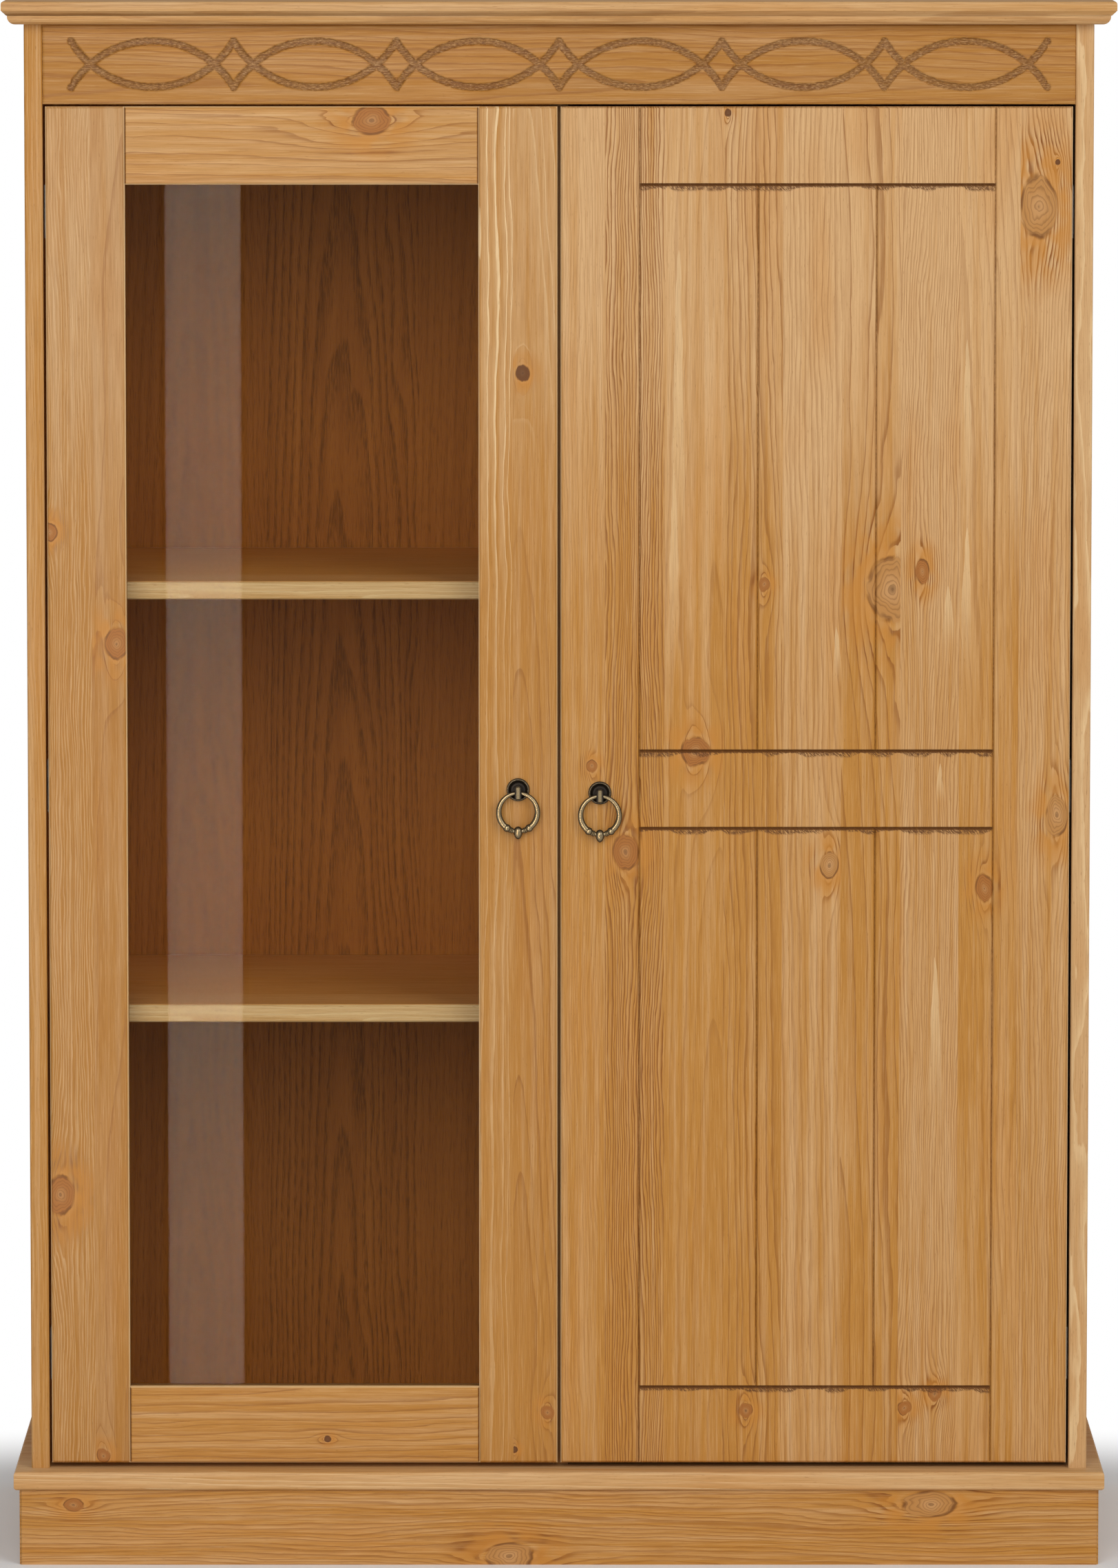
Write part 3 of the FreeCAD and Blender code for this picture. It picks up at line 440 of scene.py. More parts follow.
@dataclass(frozen=True)
class Pine:
    """Waxed pine: growth rings round the heart of each stave, knots that the grain flows round, and fibre.

    Attributes:
        name: The material's name.
        lie: How the board lies.
        first: Where the first stave starts across the board, mm.
        width: The width of a stave, mm.
        staves: The staves in order across the board.
        middle: The middle of the board along its grain, mm.
        face: Where the board's face lies along its thickness, mm.
        knots: Its knots.
        recess: How deep cuts in the face reach before they are fully brown, from torn end grain and painted
            shade, mm, or 0.
        cut_share: How brown such cuts become, torn end grain and painted shade, from 0 to 1.
        pale_share: How pale the torn fibres in such cuts are, from 0 to 1.
        deepen: How much browner the whole board is than most, from 0 to 1.
        fade: How much paler the board is at its top than at its middle, a painted sheen, from 0 to 1.
        flare: How much paler its lines are at its top than at its middle, the same painted sheen, from 0 to
            1.
        joint: Half the board's length, where its ends meet other boards in a dark line, mm, or 0.
        flames: Its pale flames.
        stain_and_painted_shade: How much browner and more orange its face is than its edges, a painted shade,
            from 0 to 1.
        arrises: Where pale lines along edges lie across the grain, painted highlights, mm.
        torn_levels: Where grooves that cross the grain have torn its fibres, mm.
        torn_span: From where to where those grooves run across the grain, mm.
    """

    name: str
    lie: Lie
    first: float
    width: float
    staves: tuple[Stave, ...]
    middle: float = 0
    face: float = 0
    knots: tuple[Knot, ...] = ()
    recess: float = 0
    cut_share: float = 0.7
    pale_share: float = 0
    deepen: float = 0
    fade: float = 0
    flare: float = 0
    joint: float = 0
    flames: tuple[Flame, ...] = ()
    stain_and_painted_shade: float = 0
    arrises: tuple[float, ...] = ()
    torn_levels: tuple[float, ...] = ()
    torn_span: tuple[float, float] = (0, 0)

    # Colours of the wood, its knots and its worked edges.
    WARM = srgb(182, 126, 53)
    PALE = srgb(205, 163, 113)
    PALE_LINE = srgb(224, 191, 143)
    BROWN_LINE = srgb(134, 78, 22)
    ORANGE = srgb(187, 124, 47)
    FLECK = srgb(128, 78, 24)
    KNOT_PALE = srgb(178, 126, 68)
    KNOT_HEART = srgb(190, 142, 90)
    KNOT_ORANGE = srgb(158, 96, 38)
    KNOT_DARK = srgb(56, 24, 8)
    KNOT_LINE = srgb(96, 54, 22)
    # The brown of torn end grain together with painted shade, for cuts and grooves.
    CUT_AND_SHADE = srgb(92, 54, 22)
    JOINT = srgb(84, 46, 20)
    # A painted shade: the warm brown of the shelves' tops in the dim interior.
    PAINTED_SHADE_COLOUR = srgb(226, 138, 48)

    # Unevenness, and how far it bends rings, knots and flames, mm.
    SLOW = Waves(230, 45, 1)
    QUICK = Waves(45, 8)
    STREAK = Waves(420, 9, 4, 0.65)
    FIBRE = Waves(42, 1, 3, 0.65)
    FLECKS = Waves(7, 0.9, 1)
    WOBBLE = Waves(24, 13, 1)
    HATCH = Waves(4, 1, 3, 0.7)
    STAVE_SHIFT = 31.7
    FLECK_SHIFT = 70
    HATCH_SEED = 3
    SLOW_WANDER = 15
    QUICK_WANDER = 4
    KNOT_WAVER_ALONG = 7
    KNOT_WAVER_ACROSS = 5
    FLAME_WAVER = 5

    # Growth rings: their unevenness, and the width and rise of their late wood.
    RING_WAVE = 6
    RING_SEED = 0.5
    RING_UNEVEN = 1.6
    LATE_WIDTH = 1.1
    LATE_MOST = 0.34
    LATE_FLAT = 0.25
    LATE_RISE = (1.8, 0.5)
    LATE_END = 0.25
    EARLY_RISE = (0.15, 0.97)
    EARLY_SHARE = 0.28
    LATE_LEAST = 0.6
    LATE_SLOW = 0.9

    # How the grain flows round a knot, and how far the knot's marks reach, in its own radii.
    FAR = 1000.0
    FLOW_ALONG = 0.22
    FLOW_ACROSS = 0.75
    SWELL_ALONG = 0.16
    SWELL_CORE = 0.6
    SWELL_RINGS = 2.2
    KNOT_EDGE = 1.5
    KNOT_NEAR = (1, 9)
    KNOT_WOBBLE = 0.4
    KNOT_STAIN = (0.9, 3.4)
    KNOT_STAIN_PATCH = (0.3, 0.6)
    KNOT_HALO = (1.0, 1.1, 1.12, 1.4)
    KNOT_MIDDLE = (0.1, 0.7)
    KNOT_BARK = (0.0, 0.6)
    KNOT_RINGS = 6.5
    KNOT_RING_WOBBLE = 2
    KNOT_RING = (0.45, 0.9, 0.92, 1)
    KNOT_PITH = (0.04, 0.2)
    KNOT_DISC = (0.88, 1)
    KNOT_RIM = (0.82, 0.95, 0.98, 1.08)
    KNOT_RIM_PATCH = (0.4, 0.6)

    # Where marks set in, as bands of a noise or of a distance in mm.
    # The painted sheen at a board's top rises over this span along the grain, mm.
    PAINTED_SHEEN_SPAN = (60, 520)
    ORANGE_BAND = (0.48, 0.7)
    # The shelves' painted shade lies in this skin under the face, mm.
    PAINTED_SHADE_SKIN = (-0.6, -0.1)
    FIBRE_EVEN = 0.47
    FLECK_BAND = (0.66, 0.8)
    CUT_START = 0.3
    CUT_FLOOR = (3.2, 3.6)
    HATCH_PALE = (0.34, 0.5)
    HATCH_DARK = (0.3, 0.7)
    SEAM = (1.5, 0.6)
    # The painted highlight along an edge, by distance from it, mm.
    EDGE_HIGHLIGHT_BAND = (0.5, 1.2)
    FLAME_SPREAD = 0.6
    FLAME_SIDE = (0.75, 1)
    FLAME_FADE = (0.2, 1)

    # Grooves across the grain: the dark groove itself, a painted shade, and the fibres torn below it, mm.
    GROOVE = (-1.7, -0.8, 1.2, 2.2)
    GROOVE_HATCH = (0.25, 0.5)
    TORN_SLANT = Waves(1.5, 6, 2, 0.7)
    TORN_WAVES = Waves(24, 90, 1)
    TORN_SEED = 5
    TORN_START = 0.8
    TORN_SOFT = 0.6
    TORN_HATCH = (0.34, 0.56)
    TORN_PATCH = (0.36, 0.6)
    TORN_REACH = (4.2, 3, 1.2)
    TORN_DEPTH = (2, 2.5)

    # How strongly each mark covers the wood under it.
    STREAK_TONE = 2.6
    SLOW_TONE = 0.6
    ORANGE_SHARE = 0.32
    BROWN_SHARE = 1.1
    KNOT_BROWN = 0.8
    FLAME_SHARE = 0.5
    FIBRE_DARK = 1.3
    FIBRE_PALE = 1.1
    FLECK_SHARE = 0.4
    HATCH_SHARE = (0.75, 0.3)
    SEAM_SHARE = 0.85
    # How strongly the painted highlight along an edge shows.
    EDGE_HIGHLIGHT_SHARE = 0.6
    # How dark the painted shade in a groove across the grain is.
    GROOVE_SHARE = (0.3, 0.65)
    TORN_SHARE = 0.9
    STAIN_SHARE = 0.85
    HALO_SHARE = 0.06
    BARK_SHARE = (0.6, 0.4)
    RING_SHARE = 0.4
    PITH_SHARE = 0.5
    DISC_SHARE = 0.92
    RIM_SHARE = 0.75

    # The waxed surface.
    ROUGHNESS = 0.5
    LATE_GLOSS = 0.08
    FIBRE_ROUGHNESS = 0.2
    SPECULAR = 0.2
    RELIEF = 0.06 * MM
    RELIEF_STRENGTH = 0.4

    def stave_facts(self, tree: ShaderTree, index: Field) -> dict[str, Field]:
        """Finds the facts of the stave at hand.

        Args:
            tree: The tree to add to.
            index: The number of the stave.

        Returns:
            The facts by name.
        """
        count = len(self.staves)
        facts = {}
        for names in (("pith", "depth", "drift"), ("ring", "pale", "lines")):
            ranges = [STAVE_RANGES[name] for name in names]
            stops = []
            for number, stave in enumerate(self.staves):
                shares = [(getattr(stave, name) - low) / (high - low)
                          for name, (low, high) in zip(names, ranges)]
                stops.append((number / count, (*shares, 1.0)))
            ramp = tree.add("ShaderNodeValToRGB", {"stops": stops}, {"Fac": (index + 0.5) / count})
            parts = tree.add("ShaderNodeSeparateColor", inputs={0: ramp})
            for name, part, (low, high) in zip(names, ("Red", "Green", "Blue"), ranges):
                facts[name] = parts.out(part) * (high - low) + low
        return facts

    def knot_fields(self, along: Field, across: Field, index: Field) -> tuple[Number, Number, Number, Number]:
        """What the knots do to the grain.

        Args:
            along: The place along the grain.
            across: The place across it.
            index: The number of the stave.

        Returns:
            The place across the grain after it has flowed round the knots, the squared distance to the
            nearest knot in its own radii, the darkness of the knot at hand, and how far the rings swell.
        """
        flow, nearest, dark, swell = across, self.FAR, 0.0, 0.0
        for knot in self.knots:
            sideways = across - knot.across
            lengthways = ((along - knot.along) / knot.half_length) ** 2
            outwards = (sideways / knot.half_width) ** 2
            if len(self.staves) > 1:
                number = math.floor((knot.across - self.first) / self.width)
                outwards = outwards + (1 - index.equals(number)) * self.FAR
            reach = lengthways + outwards
            flow = flow - sideways / (lengthways * self.FLOW_ALONG + outwards * self.FLOW_ACROSS + 1)
            nearest = reach.least(nearest)
            swell = swell + 1 / (lengthways * self.SWELL_ALONG + outwards + self.SWELL_CORE)
            if knot.kind.value:
                dark = dark + reach.below(self.KNOT_EDGE) * knot.kind.value
        return flow, nearest, dark, swell

    def make(self) -> bpy.types.Material:
        """Builds the material.

        Returns:
            The material.
        """
        tree = ShaderTree(self.name)
        place = tree.place()
        along, across, through = (place[axis] for axis in self.lie.value)
        grain = Grain(tree, along - self.middle, across, through - self.face)
        index = ((across - self.first) / self.width).floor().most(0).least(len(self.staves) - 1)
        shift = index * self.STAVE_SHIFT
        facts = self.stave_facts(tree, index)
        slow, quick, streak, fibre = (grain.noise(waves, shift)
                                      for waves in (self.SLOW, self.QUICK, self.STREAK, self.FIBRE))

        flow, nearest, dark, swell = self.knot_fields(grain.along + (quick - 0.5) * self.KNOT_WAVER_ALONG,
                                                      across + (slow - 0.5) * self.KNOT_WAVER_ACROSS, index)
        wander = (slow - 0.5) * self.SLOW_WANDER + (quick - 0.5) * self.QUICK_WANDER
        sideways = flow + wander - (index + 0.5) * self.width - self.first - facts["pith"]
        late = self.late_wood(grain, facts, shift, sideways, swell)
        late = late * (slow * self.LATE_SLOW + self.LATE_LEAST)

        # A painted sheen: the board grows paler towards its top, and so do its lines where flare is set.
        top = grain.along.ease(*self.PAINTED_SHEEN_SPAN)
        tone = facts["pale"] + (streak - 0.5) * self.STREAK_TONE + (slow - 0.5) * self.SLOW_TONE
        tone = tone + top * self.fade
        lines = facts["lines"] + top * self.flare
        colour = tree.mix(tone, self.WARM, self.PALE)
        colour = tree.mix(slow.ease(*self.ORANGE_BAND) * self.ORANGE_SHARE, colour, self.ORANGE)
        colour = tree.mix(self.deepen, colour, self.FLECK)
        brown = (0 - lines).most(0) * self.BROWN_SHARE
        if self.knots:
            brown = brown + nearest.fall(*self.KNOT_NEAR) * self.KNOT_BROWN
        colour = tree.mix(late * lines.most(0), colour, self.PALE_LINE)
        colour = tree.mix(late * brown, colour, self.BROWN_LINE)
        if self.flames:
            flames = self.flame_field(grain.along, across + (quick - 0.5) * self.FLAME_WAVER)
            colour = tree.mix(flames * self.FLAME_SHARE, colour, self.PALE_LINE)
        # A painted shade: the face turns browner and more orange than the edges.
        if self.stain_and_painted_shade:
            colour = tree.mix(grain.through.ease(*self.PAINTED_SHADE_SKIN) * self.stain_and_painted_shade, colour, self.PAINTED_SHADE_COLOUR)
        colour = tree.mix((fibre - self.FIBRE_EVEN).most(0) * self.FIBRE_DARK, colour, self.FLECK)
        colour = tree.mix((self.FIBRE_EVEN - fibre).most(0) * self.FIBRE_PALE, colour, self.PALE_LINE)
        flecks = grain.noise(self.FLECKS, self.FLECK_SHIFT)
        colour = tree.mix(flecks.ease(*self.FLECK_BAND) * self.FLECK_SHARE, colour, self.FLECK)
        if self.knots:
            colour = self.draw_knots(tree, colour, nearest, dark, grain.face_noise(self.WOBBLE, 0))
        colour = self.worked(grain, colour)
        roughness = self.ROUGHNESS - late * self.LATE_GLOSS + (fibre - 0.5) * self.FIBRE_ROUGHNESS
        relief = tree.bump(fibre, self.RELIEF, self.RELIEF_STRENGTH)
        return tree.done(tree.surface(Base_Color=colour, Roughness=roughness,
                                      Specular_IOR_Level=self.SPECULAR, Normal=relief))

    def late_wood(self, grain: Grain, facts: dict[str, Field], shift: Field, sideways: Field,
                  swell: Number) -> Field:
        """Finds the late wood of the growth rings.

        Args:
            grain: The place on the board.
            facts: The facts of the stave at hand.
            shift: Sets the staves' unevenness apart.
            sideways: How far the place lies beside the heart of the log.
            swell: How far knots swell the rings.

        Returns:
            One in the late wood, zero in the early wood.
        """
        below = grain.through + facts["depth"] + facts["drift"] * grain.along
        radius = (sideways * sideways + below * below).sqrt()
        uneven = grain.tree.noise(grain.tree.join(radius / self.RING_WAVE, shift, self.RING_SEED), 1)
        turn = radius / facts["ring"] + uneven * self.RING_UNEVEN + shift + swell * self.SWELL_RINGS
        turn = turn.fract()
        slope = abs(sideways) / radius
        share = (self.LATE_WIDTH / facts["ring"]).least(self.LATE_MOST)
        share = share * (slope * (1 - self.LATE_FLAT) + self.LATE_FLAT)
        start, full = (1 - share * part for part in self.LATE_RISE)
        early = turn.ease(*self.EARLY_RISE) * self.EARLY_SHARE
        late = early + turn.ease(start, full) * (1 - self.EARLY_SHARE)
        return late * turn.fall(1 - share * self.LATE_END, 1)

    def worked(self, grain: Grain, colour: Field) -> Field:
        """Draws what tools have left, cuts, seams and torn fibres, with painted shade in the cuts and painted
        highlights along edges.

        Args:
            grain: The place on the board.
            colour: The wood's colour.

        Returns:
            The colour with these marks.
        """
        tree = grain.tree
        # Cuts turn dark brown with depth: torn end grain, and a painted shade in the recess.
        if self.recess:
            hatch = grain.face_noise(self.HATCH, self.HATCH_SEED)
            sunk = grain.through.between(self.recess * self.CUT_START, self.recess, *self.CUT_FLOOR)
            colour = tree.mix(sunk * hatch.fall(*self.HATCH_PALE) * self.pale_share, colour, self.PALE_LINE)
            more, least = self.HATCH_SHARE
            dark = hatch.ease(*self.HATCH_DARK) * more + least
            colour = tree.mix(sunk * dark * self.cut_share, colour, self.CUT_AND_SHADE)
        if self.joint:
            start, full = (self.joint - back for back in self.SEAM)
            colour = tree.mix(abs(grain.along).ease(start, full) * self.SEAM_SHARE, colour, self.JOINT)
        # Painted highlights: a pale line along each listed edge.
        for arris in self.arrises:
            rubbed_and_highlit = abs(grain.across - arris).fall(*self.EDGE_HIGHLIGHT_BAND)
            colour = tree.mix(rubbed_and_highlit * self.EDGE_HIGHLIGHT_SHARE, colour, self.PALE_LINE)
        # Grooves across the grain: a painted shade in the groove and torn fibres below it.
        if self.torn_levels:
            colour = tree.mix(self.tears(grain), colour, self.CUT_AND_SHADE)
        return colour

    def flame_field(self, along: Field, across: Field) -> Number:
        """Finds where the pale flames lie.

        Args:
            along: The place along the grain.
            across: The place across it.

        Returns:
            One in a flame, zero outside.
        """
        mask: Number = 0.0
        for flame in self.flames:
            under = (flame.tip - along) / flame.length
            spread = under.most(0.0001) ** self.FLAME_SPREAD * flame.half_width
            inside = (abs(across - flame.across) / spread).fall(*self.FLAME_SIDE)
            mask = (inside * under.fall(*self.FLAME_FADE) * (1 - under.below(0))).most(mask)
        return mask

    def tears(self, grain: Grain) -> Field:
        """Finds the grooves that cross the grain, darkened with painted shade, and the fibres torn below
        them.

        Args:
            grain: The place on the board.

        Returns:
            One where the wood is dark, zero elsewhere.
        """
        along, across = grain.along, grain.across
        slanted = Grain(grain.tree, across + along, along - across, grain.through)
        slant = slanted.face_noise(self.TORN_SLANT, 0)
        turned = Grain(grain.tree, across, along, grain.through)
        patch = turned.face_noise(self.TORN_WAVES, self.TORN_SEED).ease(*self.TORN_PATCH)
        by_patch, by_slant, least = self.TORN_REACH
        reach = patch * by_patch + slant * by_slant + least
        more, least = self.GROOVE_SHARE
        mask: Number = 0.0
        for level in self.torn_levels:
            under = (level - self.middle) - along
            # The groove itself is painted dark, a painted shade.
            core = under.between(*self.GROOVE) * (slant.ease(*self.GROOVE_HATCH) * more + least)
            torn = under.between(0, self.TORN_START, reach * self.TORN_SOFT, reach)
            torn = torn * slant.ease(*self.TORN_HATCH) * self.TORN_SHARE
            mask = core.most(torn).most(mask)
        low, high = self.torn_span
        inside = across.between(low - 1, low + 1, high - 1, high + 1)
        return mask * inside * grain.through.fall(*self.TORN_DEPTH)

    def draw_knots(self, tree: ShaderTree, colour: Field, nearest: Field, dark: Number,
                   wobble: Field) -> Field:
        """Draws the knots over the grain.

        Args:
            tree: The tree to add to.
            colour: The grain's colour.
            nearest: The squared distance to the nearest knot in its own radii.
            dark: The darkness of the knot at hand.
            wobble: A slow noise that makes the rings uneven.

        Returns:
            The colour with the knots.
        """
        reach = nearest.sqrt() + (wobble - 0.5) * self.KNOT_WOBBLE
        stain_and_painted_shade = reach.fall(*self.KNOT_STAIN) * wobble.ease(*self.KNOT_STAIN_PATCH)
        colour = tree.mix(stain_and_painted_shade * self.STAIN_SHARE, colour, self.ORANGE)
        colour = tree.mix(reach.between(*self.KNOT_HALO) * self.HALO_SHARE, colour, self.PALE_LINE)
        heart = tree.mix(reach.fall(*self.KNOT_MIDDLE), self.KNOT_PALE, self.KNOT_HEART)
        if any(knot.kind.value for knot in self.knots):
            twice = dark * 2
            more, least = self.BARK_SHARE
            bark = reach.ease(*self.KNOT_BARK) * more + least
            heart = tree.mix(twice.least(1) * bark, heart, self.KNOT_ORANGE)
            heart = tree.mix((twice - 1).most(0), heart, self.KNOT_DARK)
        ring = (reach * self.KNOT_RINGS + wobble * self.KNOT_RING_WOBBLE).fract().between(*self.KNOT_RING)
        heart = tree.mix(ring * self.RING_SHARE, heart, self.KNOT_LINE)
        heart = tree.mix(reach.fall(*self.KNOT_PITH) * self.PITH_SHARE, heart, self.KNOT_DARK)
        colour = tree.mix(reach.fall(*self.KNOT_DISC) * self.DISC_SHARE, colour, heart)
        rim = reach.between(*self.KNOT_RIM) * wobble.ease(*self.KNOT_RIM_PATCH)
        return tree.mix(rim * self.RIM_SHARE, colour, self.KNOT_LINE)


@dataclass(frozen=True)
class BackVeneer:
    """Brown oak veneer of the back panels, with upright arched figure and short pores."""

    name: str = "brown_back_veneer"
    light: Colour = srgb(178, 106, 31)
    deep: Colour = srgb(152, 86, 21)
    pore: Colour = srgb(92, 48, 12)
    leaf: float = 150.0
    heart: float = -212.0

    SLOW = Waves(260, 40)
    PORES = Waves(12, 0.9, 2, 0.65)
    STREAK = Waves(500, 9, 3, 0.6)
    LEAF_SHIFT = 9.3
    FIRST_LEAF = 20.5
    BOW = 26
    TAPER = 0.035
    CORE = 14
    RING = 5.5
    RING_UNEVEN = 2
    LATE = (0.3, 0.85, 0.88, 1)
    LATE_PORES = (0.3, 0.6)
    LATE_SHARE = 0.6
    PLAIN_SHARE = 0.7
    PORE_BAND = (0.5, 0.75)
    PORE_SHARE = 0.5
    STREAK_TONE = 1.4

    def make(self) -> bpy.types.Material:
        """Builds the material.

        Returns:
            The material.
        """
        tree = ShaderTree(self.name)
        place = tree.place()
        grain = Grain(tree, place["Z"], place["X"], place["Y"])
        from_heart = (grain.across - self.heart) / self.leaf + self.FIRST_LEAF
        leaf = from_heart.floor()
        slow = grain.noise(self.SLOW, leaf * self.LEAF_SHIFT)
        pores = grain.noise(self.PORES)
        streak = grain.noise(self.STREAK)
        bow = (from_heart.fract() - 0.5) * self.leaf + (slow - 0.5) * self.BOW
        radius = (bow * bow + (grain.along * self.TAPER + self.CORE) ** 2).sqrt()
        late = (radius / self.RING + slow * self.RING_UNEVEN).fract().between(*self.LATE)
        plain = (leaf * 0.5).fract()
        colour = tree.mix((streak - 0.5) * self.STREAK_TONE + 0.5, self.light, self.deep)
        figure = late * pores.ease(*self.LATE_PORES) * (self.LATE_SHARE - plain * self.PLAIN_SHARE)
        colour = tree.mix(figure, colour, self.pore)
        colour = tree.mix(pores.ease(*self.PORE_BAND) * self.PORE_SHARE, colour, self.pore)
        return tree.done(tree.surface(Base_Color=colour, Roughness=0.62 + (pores - 0.5) * 0.2,
                                      Specular_IOR_Level=0.12, Normal=tree.bump(pores, 0.05 * MM, 0.3)))


@dataclass(frozen=True)
class Beech:
    """Raw beech of the dowels, with fine short flecks."""

    name: str = "raw_beech"
    light: Colour = srgb(222, 186, 146)
    deep: Colour = srgb(176, 124, 82)

    FLECK_LENGTH = 4
    FLECK_WIDTH = 1.2
    FLECK_BAND = (0.45, 0.7)

    def make(self) -> bpy.types.Material:
        """Builds the material.

        Returns:
            The material.
        """
        tree = ShaderTree(self.name)
        place = tree.place()
        fleck = tree.noise(tree.join(place["X"] / self.FLECK_WIDTH, place["Y"] / self.FLECK_WIDTH,
                                     place["Z"] / self.FLECK_LENGTH), 3, 0.6)
        colour = tree.mix(fleck.ease(*self.FLECK_BAND), self.light, self.deep)
        return tree.done(tree.surface(Base_Color=colour, Roughness=0.6 + (fleck - 0.5) * 0.2,
                                      Normal=tree.bump(fleck, 0.05 * MM, 0.3)))


@dataclass(frozen=True)
class AntiqueBrass:
    """Antiqued brass: a dark film that handling polishes off to pale gold where the piece stands proud; on
    the ring and the knuckle the pale ridges and dark sides are also painted highlight and painted shade.

    Attributes:
        name: The material's name.
        middle: Where the pale ridge of a piece whose mesh has no map lies from left to right, from handling
            and a painted highlight, mm.
        half: Half the width of that piece, mm, or 0 where the mesh carries a map of polish and painted shade.
    """

    name: str
    middle: float = 0
    half: float = 0

    FILM = srgb(34, 26, 18)
    GOLD = srgb(150, 132, 100)
    SPOT = srgb(26, 20, 14)
    SPOT_SIZE = 1.1
    SPOT_BAND = (0.58, 0.72)
    SPOT_SHARE = 0.6
    SPOT_WEAR = 0.7
    CREST_BAND = (0.2, 0.9)
    CREST_WEAR_AND_SHADE = 0.75
    RUBBED_AND_HIGHLIT_BAND = (0.15, 0.95)

    def make(self) -> bpy.types.Material:
        """Builds the material.

        Returns:
            The material.
        """
        tree = ShaderTree(self.name)
        place = tree.place()
        spots = tree.noise(tree.join(*(place[axis] / self.SPOT_SIZE for axis in "XYZ")), 3, 0.6)
        # Without a map, the piece is paler along its middle and darker towards its sides: handling, and a
        # painted shade that makes the flat block look round.
        if self.half:
            worn_and_shaded = (abs(place["X"] - self.middle) / self.half).fall(*self.CREST_BAND) * self.CREST_WEAR_AND_SHADE
        else:
            worn_and_shaded = tree.add("ShaderNodeAttribute", {"attribute_name": WEAR_AND_SHADE}, output="Fac")
        # Pale gold where handling has polished the film and, on the ring and the knuckle, also a painted
        # highlight.
        rubbed_and_highlit = (worn_and_shaded + (spots - 0.5) * self.SPOT_WEAR).ease(*self.RUBBED_AND_HIGHLIT_BAND)
        colour = tree.mix(rubbed_and_highlit, self.FILM, self.GOLD)
        colour = tree.mix(spots.ease(*self.SPOT_BAND) * self.SPOT_SHARE, colour, self.SPOT)
        return tree.done(tree.surface(Base_Color=colour, Metallic=rubbed_and_highlit * 0.6 + 0.4,
                                      Roughness=0.38 - rubbed_and_highlit * 0.14, Specular_IOR_Level=0.3,
                                      Normal=tree.bump(spots, 0.06 * MM, 0.25)))


@dataclass(frozen=True)
class NickelledSteel:
    """Nickel plate with a fine brushed grain."""

    name: str = "nickelled_steel"
    bright: Colour = srgb(176, 174, 168)
    dull: Colour = srgb(132, 130, 124)
    brush_length: float = 4
    brush_width: float = 0.15

    def make(self) -> bpy.types.Material:
        """Builds the material.

        Returns:
            The material.
        """
        tree = ShaderTree(self.name)
        place = tree.place()
        brush = tree.noise(tree.join(place["X"] / self.brush_length, place["Y"] / self.brush_length,
                                     place["Z"] / self.brush_width), 2, 0.6)
        return tree.done(tree.surface(Base_Color=tree.mix(brush, self.bright, self.dull), Metallic=1.0,
                                      Roughness=0.24 + brush * 0.2, Normal=tree.bump(brush, 0.01 * MM, 0.2)))


@dataclass(frozen=True)
class BrownPlastic:
    """Matt moulded plastic with a fine sparked grain."""

    name: str = "brown_plastic"
    light: Colour = srgb(92, 62, 40)
    deep: Colour = srgb(74, 48, 30)
    grain_size: float = 0.5

    def make(self) -> bpy.types.Material:
        """Builds the material.

        Returns:
            The material.
        """
        tree = ShaderTree(self.name)
        place = tree.place()
        grain = tree.noise(tree.join(*(place[axis] / self.grain_size for axis in "XYZ")), 2)
        return tree.done(tree.surface(Base_Color=tree.mix(grain, self.light, self.deep),
                                      Roughness=0.5 + grain * 0.2, Normal=tree.bump(grain, 0.03 * MM, 0.4)))


@dataclass(frozen=True)
class ClearGlass:
    """A thin clear pane: see-through, with a mirror sheen that grows towards the edge of sight."""

    name: str = "clear_glass"
    index: float = 1.1
    roughness: float = 0.01
    tint: Colour = srgb(250, 252, 250)

    def make(self) -> bpy.types.Material:
        """Builds the material.

        Returns:
            The material.
        """
        tree = ShaderTree(self.name)
        clear = tree.add("ShaderNodeBsdfTransparent", inputs={"Color": self.tint})
        sheen = tree.add("ShaderNodeBsdfGlossy", inputs={"Roughness": self.roughness})
        turn = tree.add("ShaderNodeFresnel", inputs={"IOR": self.index})
        return tree.done(tree.add("ShaderNodeMixShader", inputs={0: turn, 1: clear, 2: sheen}))


def millimetres(node: str) -> tuple[Vector, Vector]:
    """The lowest and highest corner of a CAD node, in millimetres."""
    low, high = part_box(node)
    return low / MM, high / MM


def as_piece(mesh: bmesh.types.BMesh, name: str, body: str, slot: str, material: bpy.types.Material,
             *nodes: str, smooth_angle: float = 35) -> bpy.types.Object:
    """Turns a mesh in millimetres into a piece of the highboard.

    Args:
        mesh: The mesh, which is freed.
        name: The piece's name.
        body: The body that it rides on.
        slot: Not used.
        material: Its finish.
        nodes: The CAD nodes that it stands for.
        smooth_angle: Edges sharper than this, in degrees, stay sharp.

    Returns:
        The piece.
    """
    bmesh.ops.transform(mesh, matrix=Matrix.Scale(MM, 4), verts=mesh.verts)
    bmesh.ops.recalc_face_normals(mesh, faces=mesh.faces)
    data = bpy.data.meshes.new(name)
    mesh.to_mesh(data)
    mesh.free()
    data.shade_smooth()
    data.set_sharp_from_angle(angle=math.radians(smooth_angle))
    data.materials.append(material)
    piece = bpy.data.objects.new(name, data)
    bpy.context.scene.collection.objects.link(piece)
    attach(piece, body)
    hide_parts(*nodes)
    log.info("%s rides on %s and stands for %s", name, body, ", ".join(nodes))
    return piece


def dress(node: str, material: bpy.types.Material) -> None:
    """Gives a CAD node its finish.

    Args:
        node: The node's name.
        material: The finish.
    """
    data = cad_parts[node].data
    data.materials.clear()
    data.materials.append(material)
    log.info("%s dressed in %s", node, material.name)


